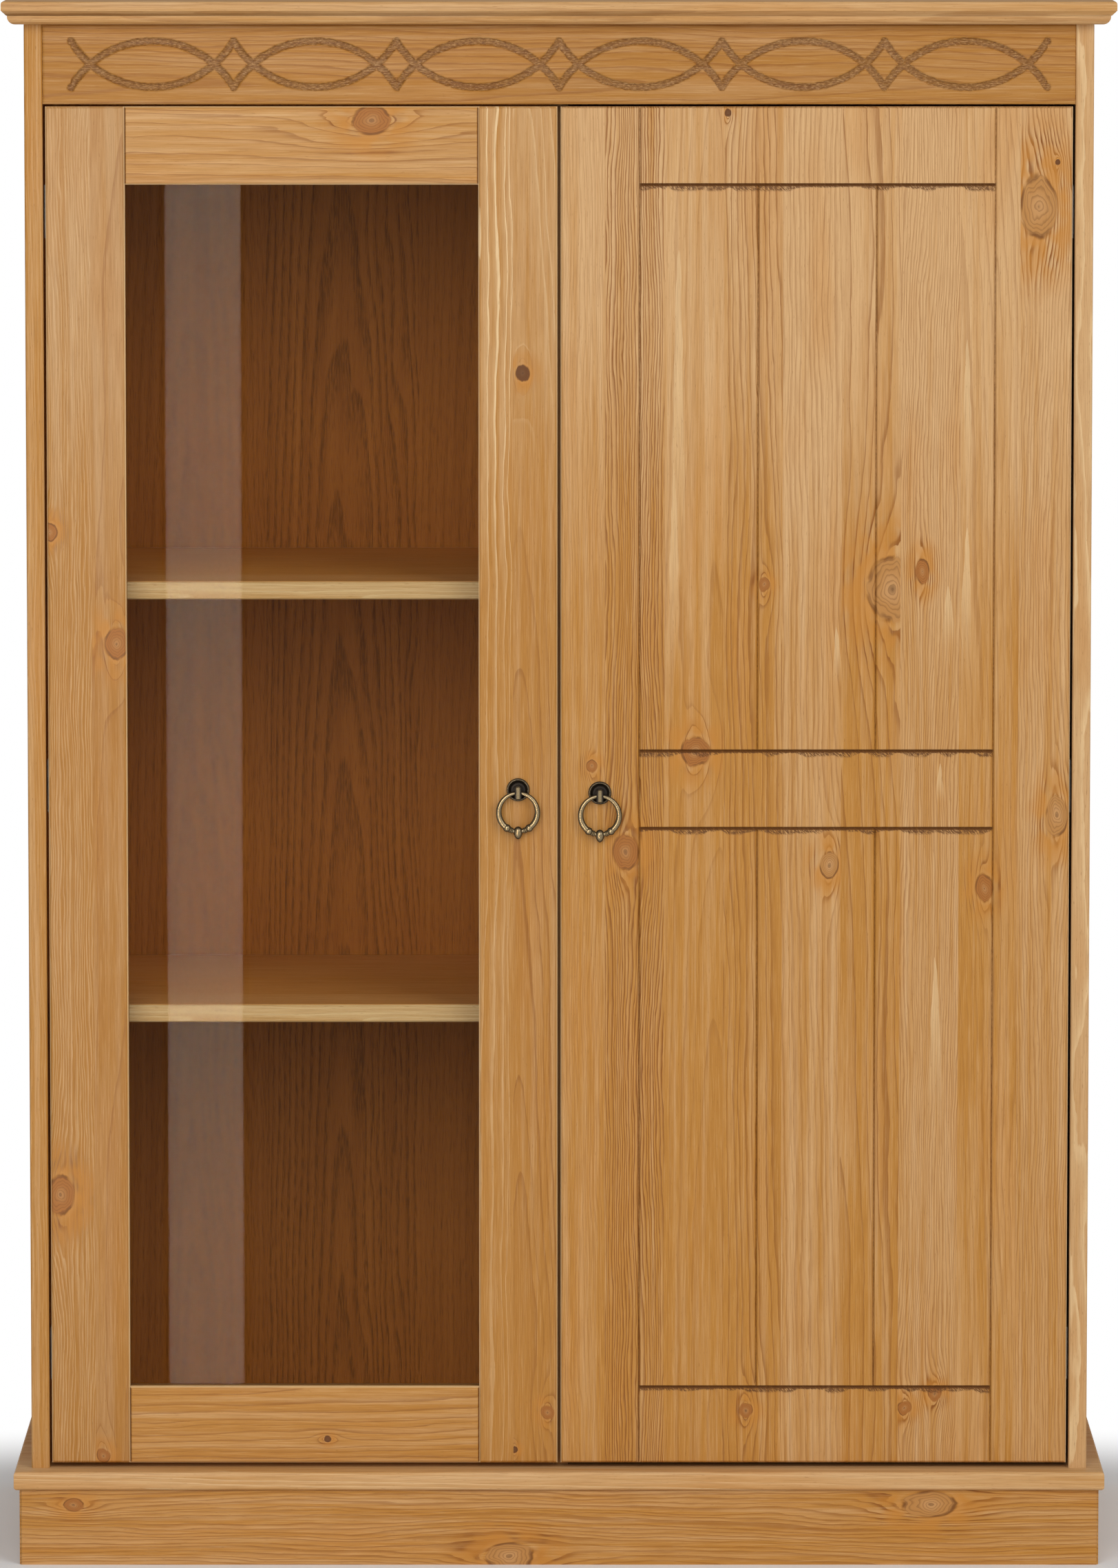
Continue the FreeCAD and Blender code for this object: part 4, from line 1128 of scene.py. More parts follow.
def quarter(radius: float, segments: int) -> list[tuple[float, float]]:
    """Points of a quarter round, from level to upright.

    Args:
        radius: Its radius.
        segments: Its straight pieces.

    Returns:
        Pairs of height gained and run left to the upright face.
    """
    turns = [math.pi / 2 * step / segments for step in range(segments + 1)]
    return [(radius * (1 - math.cos(turn)), radius * (1 - math.sin(turn))) for turn in turns]


@dataclass
class MouldedBoard:
    """A level board with a moulding along its front and both ends, flush at the back.

    Attributes:
        node: The CAD node that it stands for.
        name: The piece's name.
    """

    node: str
    name: str

    def profile(self, height: float) -> list[tuple[float, float]]:
        """Heights above the board's underside, each with its set-back from the outermost face."""
        raise NotImplementedError

    def build(self, material: bpy.types.Material) -> bpy.types.Object:
        """Builds the board, level by level of its profile.

        Args:
            material: Its finish.

        Returns:
            The piece.
        """
        low, high = millimetres(self.node)
        mesh = bmesh.new()
        levels = self.profile(high.z - low.z)
        corners = self.corners(low, high, *levels[0])
        face = mesh.faces.new([mesh.verts.new(corner) for corner in corners])
        for level in levels[1:]:
            grown = bmesh.ops.extrude_face_region(mesh, geom=[face])["geom"]
            face = next(item for item in grown if isinstance(item, bmesh.types.BMFace))
            for vert, corner in zip(self.in_order(face), self.corners(low, high, *level)):
                vert.co = corner
        return as_piece(mesh, self.name, "carcass", "pine", material, self.node)

    @staticmethod
    def corners(low: Vector, high: Vector, height: float, back: float) -> list[Vector]:
        """Finds the board's outline at one height.

        Args:
            low: The board's lowest corner.
            high: Its highest corner.
            height: The height above its underside.
            back: The set-back from its outermost face.

        Returns:
            The corners, from the front left one round to the back left one.
        """
        left, right, front = low.x + back, high.x - back, low.y + back
        outline = ((left, front), (right, front), (right, high.y), (left, high.y))
        return [Vector((x, y, low.z + height)) for x, y in outline]

    @staticmethod
    def in_order(face: bmesh.types.BMFace) -> list[bmesh.types.BMVert]:
        """A face's corners in the order of the outline."""
        middle = face.calc_center_median()
        return sorted(face.verts, key=lambda vert: math.atan2(vert.co.y - middle.y, vert.co.x - middle.x))


@dataclass
class Crown(MouldedBoard):
    """The crown: a nosing with a rounded top and a bevel under it, over an ovolo, in millimetres."""

    node: str = "top_board"
    name: str = "crown_board"
    ovolo: float = 7.5
    cove: float = 8.5
    step: float = 5.5
    bevel: float = 4.8
    top_round: float = 3.0
    ovolo_segments: int = 8
    round_segments: int = 6

    def profile(self, height: float) -> list[tuple[float, float]]:
        """Finds the levels of ovolo, quirk, bevel, face and top round.

        Args:
            height: The board's thickness.

        Returns:
            Heights above the underside, each with its set-back.
        """
        levels = [(rise, self.step + run) for rise, run in quarter(self.ovolo, self.ovolo_segments)]
        levels += [(self.cove, self.step), (self.cove, self.bevel), (self.cove + self.bevel, 0)]
        top = quarter(self.top_round, self.round_segments)
        return levels + [(height - rise, run) for rise, run in reversed(top)]


@dataclass
class BaseBoard(MouldedBoard):
    """The base board, rounded above and below, in millimetres."""

    node: str = "base_board"
    name: str = "base_moulding"
    arris: float = 3.5
    round_segments: int = 6

    def profile(self, height: float) -> list[tuple[float, float]]:
        """Lower round, face and upper round."""
        lower = quarter(self.arris, self.round_segments)
        return lower + [(height - rise, run) for rise, run in reversed(lower)]


@dataclass
class CarvedFrieze:
    """The frieze board with its carved band of interlaced arcs, in millimetres."""

    node: str = "frieze_board"
    pitch: float = 152
    count: int = 6
    rise: float = 43
    nose: float = 5.0
    depth: float = 2.2
    arris: float = 1.2
    cell: float = 2.0
    tear: float = 0.5
    tear_length: float = 4
    tear_width: float = 1.1
    edge_seed: float = 7
    smooth_angle: float = 50

    RIM_SLACK = 0.01

    def gap(self, x: float, height: float) -> float:
        """How far a place on the face lies from the nearest groove's middle.

        Args:
            x: Along the board from its middle.
            height: Above the middle of the band.

        Returns:
            The distance.
        """
        half, reach = self.pitch / 2, self.pitch * self.count / 2
        radius = (half ** 2 + self.rise ** 2) / (2 * self.rise)
        folded = (x + reach) % self.pitch - half
        to_cusp = abs(x) - reach if abs(x) > reach else half - abs(folded)
        gap = math.hypot(to_cusp, abs(height) - self.rise / 2)
        if abs(x) > reach:
            return gap
        for side in (-1, 1):
            out = math.hypot(folded, height * side + radius - self.rise / 2)
            if abs(folded) * radius <= half * out:
                gap = min(gap, abs(out - radius))
        return gap

    def groove(self, x: float, height: float) -> float:
        """Finds how deep the carving is at a place on the face.

        Args:
            x: Along the board from its middle.
            height: Above the middle of the band.

        Returns:
            The depth, zero outside the grooves.
        """
        ragged = noise.noise(Vector((x / self.tear_length, height / self.tear_length, self.edge_seed)))
        gap = self.gap(x, height) + ragged * self.tear
        if gap >= self.nose:
            return 0
        full = math.sqrt(self.nose ** 2 - gap ** 2) - self.nose + self.depth
        torn = noise.noise(Vector((x / self.tear_length, height / self.tear_width, 0))) * self.tear
        return max(0, full + torn * min(1, max(0, full)))

    def build(self, material: bpy.types.Material) -> bpy.types.Object:
        """Builds the board from a grid that is finer along the grooves.

        Args:
            material: Its finish.

        Returns:
            The piece.
        """
        low, high = millimetres(self.node)
        middle = (low + high) / 2
        width = high.x - low.x - 2 * self.arris
        height = high.z - low.z - 2 * self.arris
        mesh = bmesh.new()
        bmesh.ops.create_grid(mesh, x_segments=round(width / self.cell), y_segments=round(height / self.cell),
                              size=0.5)
        bmesh.ops.scale(mesh, vec=(width, height, 1), verts=mesh.verts)
        near = [edge for edge in mesh.edges
                if min(self.gap(*vert.co.xy) for vert in edge.verts) < self.nose + self.cell / 2]
        bmesh.ops.subdivide_edges(mesh, edges=near, cuts=2, use_grid_fill=True)
        for vert in mesh.verts:
            vert.co.z = -self.groove(vert.co.x, vert.co.y)
        rim = [edge for edge in mesh.edges if edge.is_boundary]
        for back in (self.arris, high.y - low.y):
            grown = bmesh.ops.extrude_edge_only(mesh, edges=rim)["geom"]
            rim = [item for item in grown if isinstance(item, bmesh.types.BMEdge)]
            for vert in (item for item in grown if isinstance(item, bmesh.types.BMVert)):
                vert.co = (self.pushed(vert.co.x, width / 2), self.pushed(vert.co.y, height / 2), -back)
        bmesh.ops.holes_fill(mesh, edges=rim, sides=0)
        bmesh.ops.rotate(mesh, matrix=Matrix.Rotation(math.pi / 2, 3, "X"), verts=mesh.verts)
        bmesh.ops.translate(mesh, vec=(middle.x, low.y, middle.z), verts=mesh.verts)
        return as_piece(mesh, "carved_frieze", "carcass", "pine", material, self.node,
                        smooth_angle=self.smooth_angle)

    def pushed(self, value: float, half: float) -> float:
        """Moves a place on the grid's rim out by the arris, and leaves any other where it is."""
        return math.copysign(half + self.arris, value) if abs(value) > half - self.RIM_SLACK else value


@dataclass
class RingPull:
    """A hanging ring pull: a turned rosette, and a ring with beads, collars and a drop, in millimetres.

    Attributes:
        hand: left or right.
    """

    hand: str
    boss: float = 4.8
    boss_height: float = 3.4
    step: float = 7.0
    step_height: float = 2.6
    groove_height: float = 0.9
    rim_half: float = 1.2
    rim_height: float = 1.6
    outer: float = 20.3
    ring_radius: float = 18.2
    wire_top: float = 1.6
    wire_low: float = 2.85
    neck: float = 1.9
    bead: float = 3.7
    bead_angle: float = 35
    collar: float = 2.9
    collar_flat: float = 0.4
    collar_angles: tuple[float, ...] = (23.5, 18.5)
    drop: float = 4.1
    drop_half: float = 6.1
    drop_low: float = 1.3
    drop_lean: float = 0.15
    taper_turn: float = 110
    ease: float = 0.5
    boss_ease: float = 0.4
    flare: float = 0.2
    groove_lip: float = 0.3
    crest_wear: float = 0.4
    flat_wear: float = 0.12
    rim_segments: int = 12
    rosette_steps: int = 72
    wire_segments: int = 20
    ring_steps: int = 120
    bead_segments: tuple[int, int] = (20, 14)
    drop_segments: tuple[int, int] = (24, 20)

    # How pale the wire's front and back are against its dark sides: handling, and painted highlight and
    # shade.
    WIRE_WEAR_AND_SHADE = 0.8
    WEAR_POWER = 1.3
    MERGE = 0.001

    def build(self) -> None:
        """Builds the rosette and the ring and dresses the knuckle."""
        worn_and_shaded = AntiqueBrass(self.hand + "_pull_brass").make()
        self.build_rosette(worn_and_shaded)
        self.build_ring(worn_and_shaded)
        # The knuckle's finish is paler along its middle, a painted highlight, with painted shade towards its
        # sides.
        low, high = millimetres(self.hand + "_knuckle")
        knuckle_wear_and_shade = AntiqueBrass(self.hand + "_knuckle_brass", (low.x + high.x) / 2, (high.x - low.x) / 2)
        dress(self.hand + "_knuckle", knuckle_wear_and_shade.make())

    def build_rosette(self, material: bpy.types.Material) -> None:
        """Spins the rosette's outline about its axis.

        Args:
            material: Its finish.
        """
        low, high = millimetres(self.hand + "_rosette")
        middle = (low + high) / 2
        edge = (high.x - low.x) / 2
        outline = [(0, self.boss_height), (self.boss - self.ease, self.boss_height),
                   (self.boss, self.boss_height - self.boss_ease), (self.boss, self.step_height),
                   (self.step - self.ease, self.step_height), (self.step, self.step_height - self.ease),
                   (self.step + self.flare, self.groove_height)]
        rim_middle = edge - self.rim_half
        for turn in range(self.rim_segments, -1, -1):
            angle = math.pi * turn / self.rim_segments
            outline.append((rim_middle + self.rim_half * math.cos(angle),
                            self.rim_height + self.rim_half * math.sin(angle)))
        outline += [(edge, 0), (0, 0)]
        mesh = bmesh.new()
        verts = [mesh.verts.new((middle.x + out, high.y - up, middle.z)) for out, up in outline]
        edges = [mesh.edges.new(pair) for pair in zip(verts, verts[1:])]
        bmesh.ops.spin(mesh, geom=verts + edges, cent=(middle.x, high.y, middle.z), axis=(0, 1, 0),
                       angle=2 * math.pi, steps=self.rosette_steps, use_merge=True)
        bmesh.ops.remove_doubles(mesh, verts=mesh.verts, dist=self.MERGE)
        wear_and_shade = mesh.verts.layers.float.new(WEAR_AND_SHADE)
        for vert in mesh.verts:
            out = math.hypot(vert.co.x - middle.x, vert.co.z - middle.z)
            up = high.y - vert.co.y
            in_groove = self.step < out < edge - 2 * self.rim_half + self.groove_lip
            on_crest = abs(out - rim_middle) < self.rim_half / 2 and up > self.rim_height
            vert[wear_and_shade] = 0.0 if in_groove else self.crest_wear if on_crest else self.flat_wear
        as_piece(mesh, self.hand + "_turned_rosette", self.hand + "_door", "antique_brass", material,
                 self.hand + "_rosette")

    def build_ring(self, material: bpy.types.Material) -> None:
        """Spins and tapers the wire, then threads beads, collars and the drop on it.

        Args:
            material: Its finish.
        """
        low, high = millimetres(self.hand + "_ring")
        centre = Vector(((low.x + high.x) / 2, (low.y + high.y) / 2, high.z - self.outer))
        mesh = bmesh.new()
        start = Matrix.Translation(centre + Vector((self.ring_radius, 0, 0)))
        circle = bmesh.ops.create_circle(mesh, segments=self.wire_segments, radius=1, matrix=start)["verts"]
        edges = {edge for vert in circle for edge in vert.link_edges}
        bmesh.ops.spin(mesh, geom=list(circle) + list(edges), cent=centre, axis=(0, 1, 0), angle=2 * math.pi,
                       steps=self.ring_steps, use_merge=True)
        wear_and_shade = mesh.verts.layers.float.new(WEAR_AND_SHADE)
        for vert in mesh.verts:
            away = Vector((vert.co.x - centre.x, 0, vert.co.z - centre.z)).normalized()
            core = centre + away * self.ring_radius
            turn = math.degrees(math.acos(max(-1, min(1, -away.z))))
            # Pale at the front and the back, dark on the inner and outer sides: handling, with painted
            # highlight and painted shade.
            vert[wear_and_shade] = self.rubbed_and_highlit(vert.co - core)
            vert.co = core + (vert.co - core) * self.wire_at(turn)
        for side in (-1, 1):
            self.thread(mesh, wear_and_shade, centre, side * self.bead_angle, self.bead, 1.0)
            for angle in self.collar_angles:
                self.thread(mesh, wear_and_shade, centre, side * angle, self.collar, self.collar_flat)
        self.hang_drop(mesh, wear_and_shade, centre)
        as_piece(mesh, self.hand + "_turned_ring", self.hand + "_ring", "antique_brass", material,
                 self.hand + "_ring")

    def rubbed_and_highlit(self, outwards: Vector) -> float:
        """How far the film is polished off where a surface faces a way: most at the front and the back, least
        on the sides; handling together with painted highlight and painted shade.
        """
        return self.WIRE_WEAR_AND_SHADE * abs(outwards.normalized().y) ** self.WEAR_POWER

    def wire_at(self, turn: float) -> float:
        """Finds how thick the wire is.

        Args:
            turn: The turn from the ring's bottom, in degrees.

        Returns:
            The wire's radius there.
        """
        share = min(1, max(0, (180 - turn) / self.taper_turn))
        full = self.wire_top + (self.wire_low - self.wire_top) * share
        return self.neck if turn < self.bead_angle else full

    def thread(self, mesh: bmesh.types.BMesh, wear_and_shade: Any, centre: Vector, angle: float, radius: float,
               flat: float) -> None:
        """Threads a bead or a flat collar on the wire.

        Args:
            mesh: The ring's mesh.
            wear_and_shade: Its layer of polish and painted shade.
            centre: The ring's middle.
            angle: From the ring's bottom, in degrees.
            radius: Its radius.
            flat: Its thickness along the wire, as a share of its radius.
        """
        turn = Matrix.Rotation(math.radians(-angle), 4, "Y")
        spot = Matrix.Translation(centre) @ turn @ Matrix.Translation((0, 0, -self.ring_radius))
        around, up = self.bead_segments
        verts = bmesh.ops.create_uvsphere(mesh, u_segments=around, v_segments=up, radius=radius,
                                          matrix=spot @ Matrix.Diagonal((flat, 1, 1, 1)))["verts"]
        for vert in verts:
            vert[wear_and_shade] = self.rubbed_and_highlit(vert.co - spot.to_translation())

    def hang_drop(self, mesh: bmesh.types.BMesh, wear_and_shade: Any, centre: Vector) -> None:
        """Hangs the egg-shaped drop under the ring, fuller above than below.

        Args:
            mesh: The ring's mesh.
            wear_and_shade: Its layer of polish and painted shade.
            centre: The ring's middle.
        """
        middle = centre - Vector((0, 0, self.ring_radius + self.drop_low))
        around, up = self.drop_segments
        verts = bmesh.ops.create_uvsphere(mesh, u_segments=around, v_segments=up, radius=1)["verts"]
        for vert in verts:
            vert[wear_and_shade] = self.rubbed_and_highlit(vert.co)
            belly = self.drop * (1 + self.drop_lean * vert.co.z)
            vert.co = middle + Vector((vert.co.x * belly, vert.co.y * belly, vert.co.z * self.drop_half))


class Seed(IntEnum):
    """Chooses the staves and knots of boards that the photograph doesn't show."""

    SIDE = 11
    SHELF = 21
    PLINTH_BACK = 31
    PLINTH_RETURN = 32
    CORNER_BLOCK = 35
    CROWN = 41
    BASE = 42
    SIDE_KNOT = 61
    CROWN_KNOT = 66
    LEVEL_BEAD = 90
    SIDE_BEAD = 95


# Staves of the boards in the photograph, from left to right.
HINGE_STILE_STAVES = (Stave(-75, 30, 0.01, 2.3, 0, 0.25), Stave(12, 45, 0.02, 8, 0.2, -0.35))
CLOSING_STILE_STAVES = (Stave(-26, 22, -0.01, 7, 0, 0.3), Stave(-14, 30, 0.03, 5.2, 0.08, -0.42))
DOOR_STAVES = (
    Stave(-70, 25, 0.01, 2.6, 0.18, -0.2),
    Stave(-85, 20, 0, 2.4, 0.08, -0.75),
    Stave(20, 40, 0.02, 6, 0.14, -0.25),
    Stave(60, 40, -0.02, 5, 0.06, -0.5),
    Stave(75, 30, -0.03, 4.5, 0.52, -0.3),
    Stave(-30, 45, 0.01, 6, 0.12, -0.5),
    Stave(65, 25, 0.03, 2.2, 0.58, -0.4),
    Stave(-40, 25, 0.03, 5, 0.26, -0.25),
    Stave(80, 40, 0, 2.4, 0.5, -0.35),
)
TOP_RAIL_STAVE = Stave(-75, 30, 0.02, 9.5, 0.4, -0.5)
BOTTOM_RAIL_STAVE = Stave(40, 25, 0.02, 6, 0.16, -0.5)
PLINTH_STAVE = Stave(-70, 30, 0.02, 3.6, 0.22, -0.45)
FRIEZE_STAVE = Stave(-20, 25, 0.015, 4.2, 0.15, -0.45)
CROWN_NOSING = Stave(-40, 20, 0.01, 5, 0.75, -0.25)
BASE_NOSING = Stave(-30, 24, 0.02, 6, 0.7, 0.5)
SHELF_EDGE = Stave(-40, 20, 0.01, 4, 0.9, 0.35)
LEFT_EDGE = Stave(-60, 30, 0.01, 3, 0.1, 0.15)
RIGHT_EDGE = Stave(40, 30, 0.01, 5, 1, 0.6)
PARTITION_EDGE = Stave(30, 30, 0.02, 4, 0.4, -0.4)

# Their flames and knots, by their place on the object along and across the grain.
DOOR_FLAMES = (
    Flame(1247, 112, 400, 10), Flame(1041, 108, 220, 8), Flame(1163, 383, 150, 6), Flame(986, 383, 150, 7),
    Flame(931, 366, 60, 8), Flame(892, 261, 60, 6), Flame(763, 359, 40, 6), Flame(579, 355, 170, 8),
)
DOOR_KNOTS = (
    Knot(1375, 158, 4, 3, KnotKind.DARK), Knot(1287.5, 448.5, 31, 18), Knot(1329, 467, 3, 2.5, KnotKind.DARK),
    Knot(931.6, 193, 7, 5, KnotKind.ORANGE), Knot(928, 312.5, 31, 23),
    Knot(945, 342, 12, 6.5, KnotKind.ORANGE), Knot(774, 128.5, 14, 14, KnotKind.ORANGE),
    Knot(760, 31, 6, 5.5, KnotKind.ORANGE), Knot(678.7, 62.4, 17, 12.5, KnotKind.ORANGE),
    Knot(666, 254.5, 13, 9), Knot(645, 400.5, 13, 9, KnotKind.ORANGE), Knot(712.7, 468, 20, 10),
    Knot(145.4, 177.5, 7, 6.5, KnotKind.ORANGE), Knot(148, 327.5, 7, 6.5, KnotKind.ORANGE),
    Knot(162, 356, 7, 6.5, KnotKind.ORANGE),
)
HINGE_STILE_KNOTS = (
    Knot(982, -478, 9, 7.5, KnotKind.ORANGE), Knot(876, -416.6, 15, 11, KnotKind.ORANGE),
    Knot(352, -470.5, 19.5, 13, KnotKind.ORANGE), Knot(102, -432, 7, 6.5, KnotKind.ORANGE),
)
CLOSING_STILE_KNOTS = (
    Knot(1130.6, -34.7, 8, 7, KnotKind.DARK), Knot(143.4, -11.6, 6.5, 6.5, KnotKind.ORANGE),
    Knot(107, -42.3, 3.3, 3.3, KnotKind.DARK),
)
TOP_RAIL_KNOTS = (Knot(-175.5, 1367.4, 18, 14, KnotKind.ORANGE),)
BOTTOM_RAIL_KNOTS = (Knot(-219, 118, 3.5, 3.3, KnotKind.DARK),)
PLINTH_KNOTS = (Knot(-460, 57.7, 10, 6.5, KnotKind.ORANGE), Knot(-46.8, 7.4, 23, 14), Knot(351, 58, 26, 13))


@dataclass
class Joinery:
    """The boards of carcass and doors, each dressed in pine with its own staves and knots, in millimetres."""

    stile_stave: float = 41.7
    door_first: float = -12.1
    door_stave: float = 55.5
    door_cut: float = 1.4
    groove_levels: tuple[float, ...] = (168, 701.3, 774.7, 1308)
    groove_span: tuple[float, float] = (75.5, 408.5)
    side_staves: int = 6
    side_knots: int = 5
    side_reach: float = 620
    side_span: tuple[float, float] = (-110, 190)
    shelf_staves: int = 5
    # How strongly the shelves' tops are painted with shade.
    shelf_painted_shade: float = 0.58
    deep_first: float = -200
    deep_stave: float = 66.7
    deep_staves: int = 6
    crown_knots: int = 4
    crown_reach: float = 460
    crown_span: tuple[float, float] = (-120, 190)
    plain_stave: float = 400
    # How much browner the level beads are, a painted shade.
    bead_painted_shade: float = 0.9
    frieze_cut: float = 1.2

    def dress_doors(self) -> None:
        """Dresses the glazed door's frame and the solid door."""
        # The door boards grow paler towards their top, a painted sheen.
        first = millimetres("hinge_stile")[0].x
        self.door_board("hinge_stile", "hinge_stile_pine", first, self.stile_stave, HINGE_STILE_STAVES,
                        HINGE_STILE_KNOTS, deepen=0.28, fade=0.75)
        first = millimetres("closing_stile")[1].x - len(CLOSING_STILE_STAVES) * self.stile_stave
        self.door_board("closing_stile", "closing_stile_pine", first, self.stile_stave, CLOSING_STILE_STAVES,
                        CLOSING_STILE_KNOTS, deepen=0.15, fade=0.5, flare=0.8)
        self.door_board("right_door_panel", "solid_door_pine", self.door_first, self.door_stave, DOOR_STAVES,
                        DOOR_KNOTS, DOOR_FLAMES, recess=self.door_cut, fade=0.75,
                        torn_levels=self.groove_levels, torn_span=self.groove_span)
        for rail, stave, knots in (("top_rail", TOP_RAIL_STAVE, TOP_RAIL_KNOTS),
                                   ("bottom_rail", BOTTOM_RAIL_STAVE, BOTTOM_RAIL_KNOTS)):
            low, high = millimetres(rail)
            pine = self.level_board(rail, rail + "_pine", stave, knots, joint=(high.x - low.x) / 2,
                                    arrises=(low.z, high.z))
            dress(rail, pine.make())
        # The level beads are browner, a painted shade.
        for number, bead in enumerate(("top_bead", "bottom_bead")):
            self.dress_plain(bead, bead + "_pine", Lie.RAIL, Seed.LEVEL_BEAD + number, self.bead_painted_shade)
        for number, bead in enumerate(("hinge_side_bead", "closing_side_bead")):
            self.dress_plain(bead, bead + "_pine", Lie.DOOR, Seed.SIDE_BEAD + number)

    def dress_carcass(self) -> None:
        """Dresses sides, partition, shelves, plinth and back."""
        self.dress_uprights()
        self.dress_shelves()
        self.dress_plinth()
        veneer = BackVeneer().make()
        for panel in ("left_back_panel", "right_back_panel"):
            dress(panel, veneer)

    def dress_uprights(self) -> None:
        """Dresses the sides, each from its outer face, and the partition."""
        low, high = millimetres("left_side")
        width = (high.y - low.y) / self.side_staves
        middle = (low.z + high.z) / 2
        # The partition is browner than the sides, a painted shade in the gap between the doors.
        uprights = (("left_side", 0, LEFT_EDGE, 0.1), ("right_side", 1, RIGHT_EDGE, 0.1),
                    ("centre_partition", 0, PARTITION_EDGE, 0.4))
        for number, (side, outer, edge, deepen) in enumerate(uprights):
            staves = (edge, *any_staves(self.side_staves - 1, Seed.SIDE + number))
            knots = any_knots(self.side_knots, Seed.SIDE_KNOT + number, self.side_reach, self.side_span)
            face = millimetres(side)[outer].x
            pine = Pine(side + "_pine", Lie.SIDE, low.y, width, staves, middle, face, knots, deepen=deepen)
            dress(side, pine.make())

    def dress_shelves(self) -> None:
        """Dresses the shelves, browner above than along their front edges, a painted shade."""
        for number, shelf in enumerate(("upper_left_shelf", "upper_right_shelf", "lower_left_shelf",
                                        "lower_right_shelf")):
            low, high = millimetres(shelf)
            staves = (SHELF_EDGE, *any_staves(self.shelf_staves - 1, Seed.SHELF + number))
            pine = Pine(shelf + "_pine", Lie.SHELF, low.y, (high.y - low.y) / self.shelf_staves, staves,
                        face=high.z, stain_and_painted_shade=self.shelf_painted_shade)
            dress(shelf, pine.make())

    def dress_plinth(self) -> None:
        """Dresses the plinth's boards, each from its outer face, and its corner blocks."""
        dress("plinth_front", self.level_board("plinth_front", "plinth_front_pine", PLINTH_STAVE,
                                               PLINTH_KNOTS).make())
        stave, = any_staves(1, Seed.PLINTH_BACK)
        dress("plinth_back", self.level_board("plinth_back", "plinth_back_pine", stave, outer=1).make())
        for number, board in enumerate(("plinth_left", "plinth_right")):
            corners = millimetres(board)
            pine = Pine(board + "_pine", Lie.RETURN, corners[0].z, corners[1].z - corners[0].z,
                        any_staves(1, Seed.PLINTH_RETURN + number), face=corners[number].x)
            dress(board, pine.make())
        self.dress_plain("plinth_corner_blocks", "corner_block_pine", Lie.SIDE, Seed.CORNER_BLOCK)

    def build_mouldings(self) -> None:
        """Builds the crown, the base board and the carved frieze."""
        staves = (CROWN_NOSING, *any_staves(self.deep_staves - 1, Seed.CROWN))
        knots = any_knots(self.crown_knots, Seed.CROWN_KNOT, self.crown_reach, self.crown_span)
        crown = Pine("crown_pine", Lie.SHELF, self.deep_first, self.deep_stave, staves,
                     face=millimetres("top_board")[1].z, knots=knots)
        Crown().build(crown.make())
        staves = (BASE_NOSING, *any_staves(self.deep_staves - 1, Seed.BASE))
        base = Pine("base_pine", Lie.SHELF, self.deep_first, self.deep_stave, staves,
                    face=millimetres("base_board")[1].z)
        BaseBoard().build(base.make())
        # The frieze is browner than most boards, a painted shade under the crown's overhang.
        carved = self.level_board("frieze_board", "frieze_pine", FRIEZE_STAVE, recess=self.frieze_cut,
                                  cut_share=0.78, pale_share=0.3, deepen=0.26)
        CarvedFrieze().build(carved.make())

    def dress_plain(self, node: str, name: str, lie: Lie, seed: int, deepen: float = 0) -> None:
        """Dresses a small piece in one stave of no special look.

        Args:
            node: The CAD node.
            name: The material's name.
            lie: How the piece lies.
            seed: Chooses the stave.
            deepen: How much browner it is than most, from 0 to 1.
        """
        pine = Pine(name, lie, -self.plain_stave / 2, self.plain_stave, any_staves(1, seed), deepen=deepen)
        dress(node, pine.make())

    @staticmethod
    def door_board(node: str, name: str, first: float, width: float, staves: tuple[Stave, ...],
                   knots: tuple[Knot, ...], flames: tuple[Flame, ...] = (), **looks: Any) -> None:
        """Dresses an upright board of a door.

        Args:
            node: The CAD node.
            name: The material's name.
            first: Where the first stave starts across the board.
            width: The width of a stave.
            staves: The staves in order.
            knots: The knots, by their place on the object.
            flames: The flames, by their place on the object.
            looks: Other values of the finish.
        """
        low, high = millimetres(node)
        middle = (low.z + high.z) / 2
        knots = tuple(replace(knot, along=knot.along - middle) for knot in knots)
        flames = tuple(replace(flame, tip=flame.tip - middle) for flame in flames)
        pine = Pine(name, Lie.DOOR, first, width, staves, middle, low.y, knots, flames=flames,
                    arrises=(low.x, high.x), **looks)
        dress(node, pine.make())

    @staticmethod
    def level_board(node: str, name: str, stave: Stave, knots: tuple[Knot, ...] = (), outer: int = 0,
                    **looks: Any) -> Pine:
        """Chooses the finish of a board that runs from left to right and is one stave high.

        Args:
            node: The CAD node.
            name: The material's name.
            stave: Its stave.
            knots: The knots, by their place on the object.
            outer: Whether its face looks to the front, 0, or to the back, 1.
            looks: Other values of the finish.

        Returns:
            The finish.
        """
        low, high = corners = millimetres(node)
        middle = (low.x + high.x) / 2
        knots = tuple(replace(knot, along=knot.along - middle) for knot in knots)
        return Pine(name, Lie.RAIL, low.z, high.z - low.z, (stave,), middle, corners[outer].y, knots, **looks)


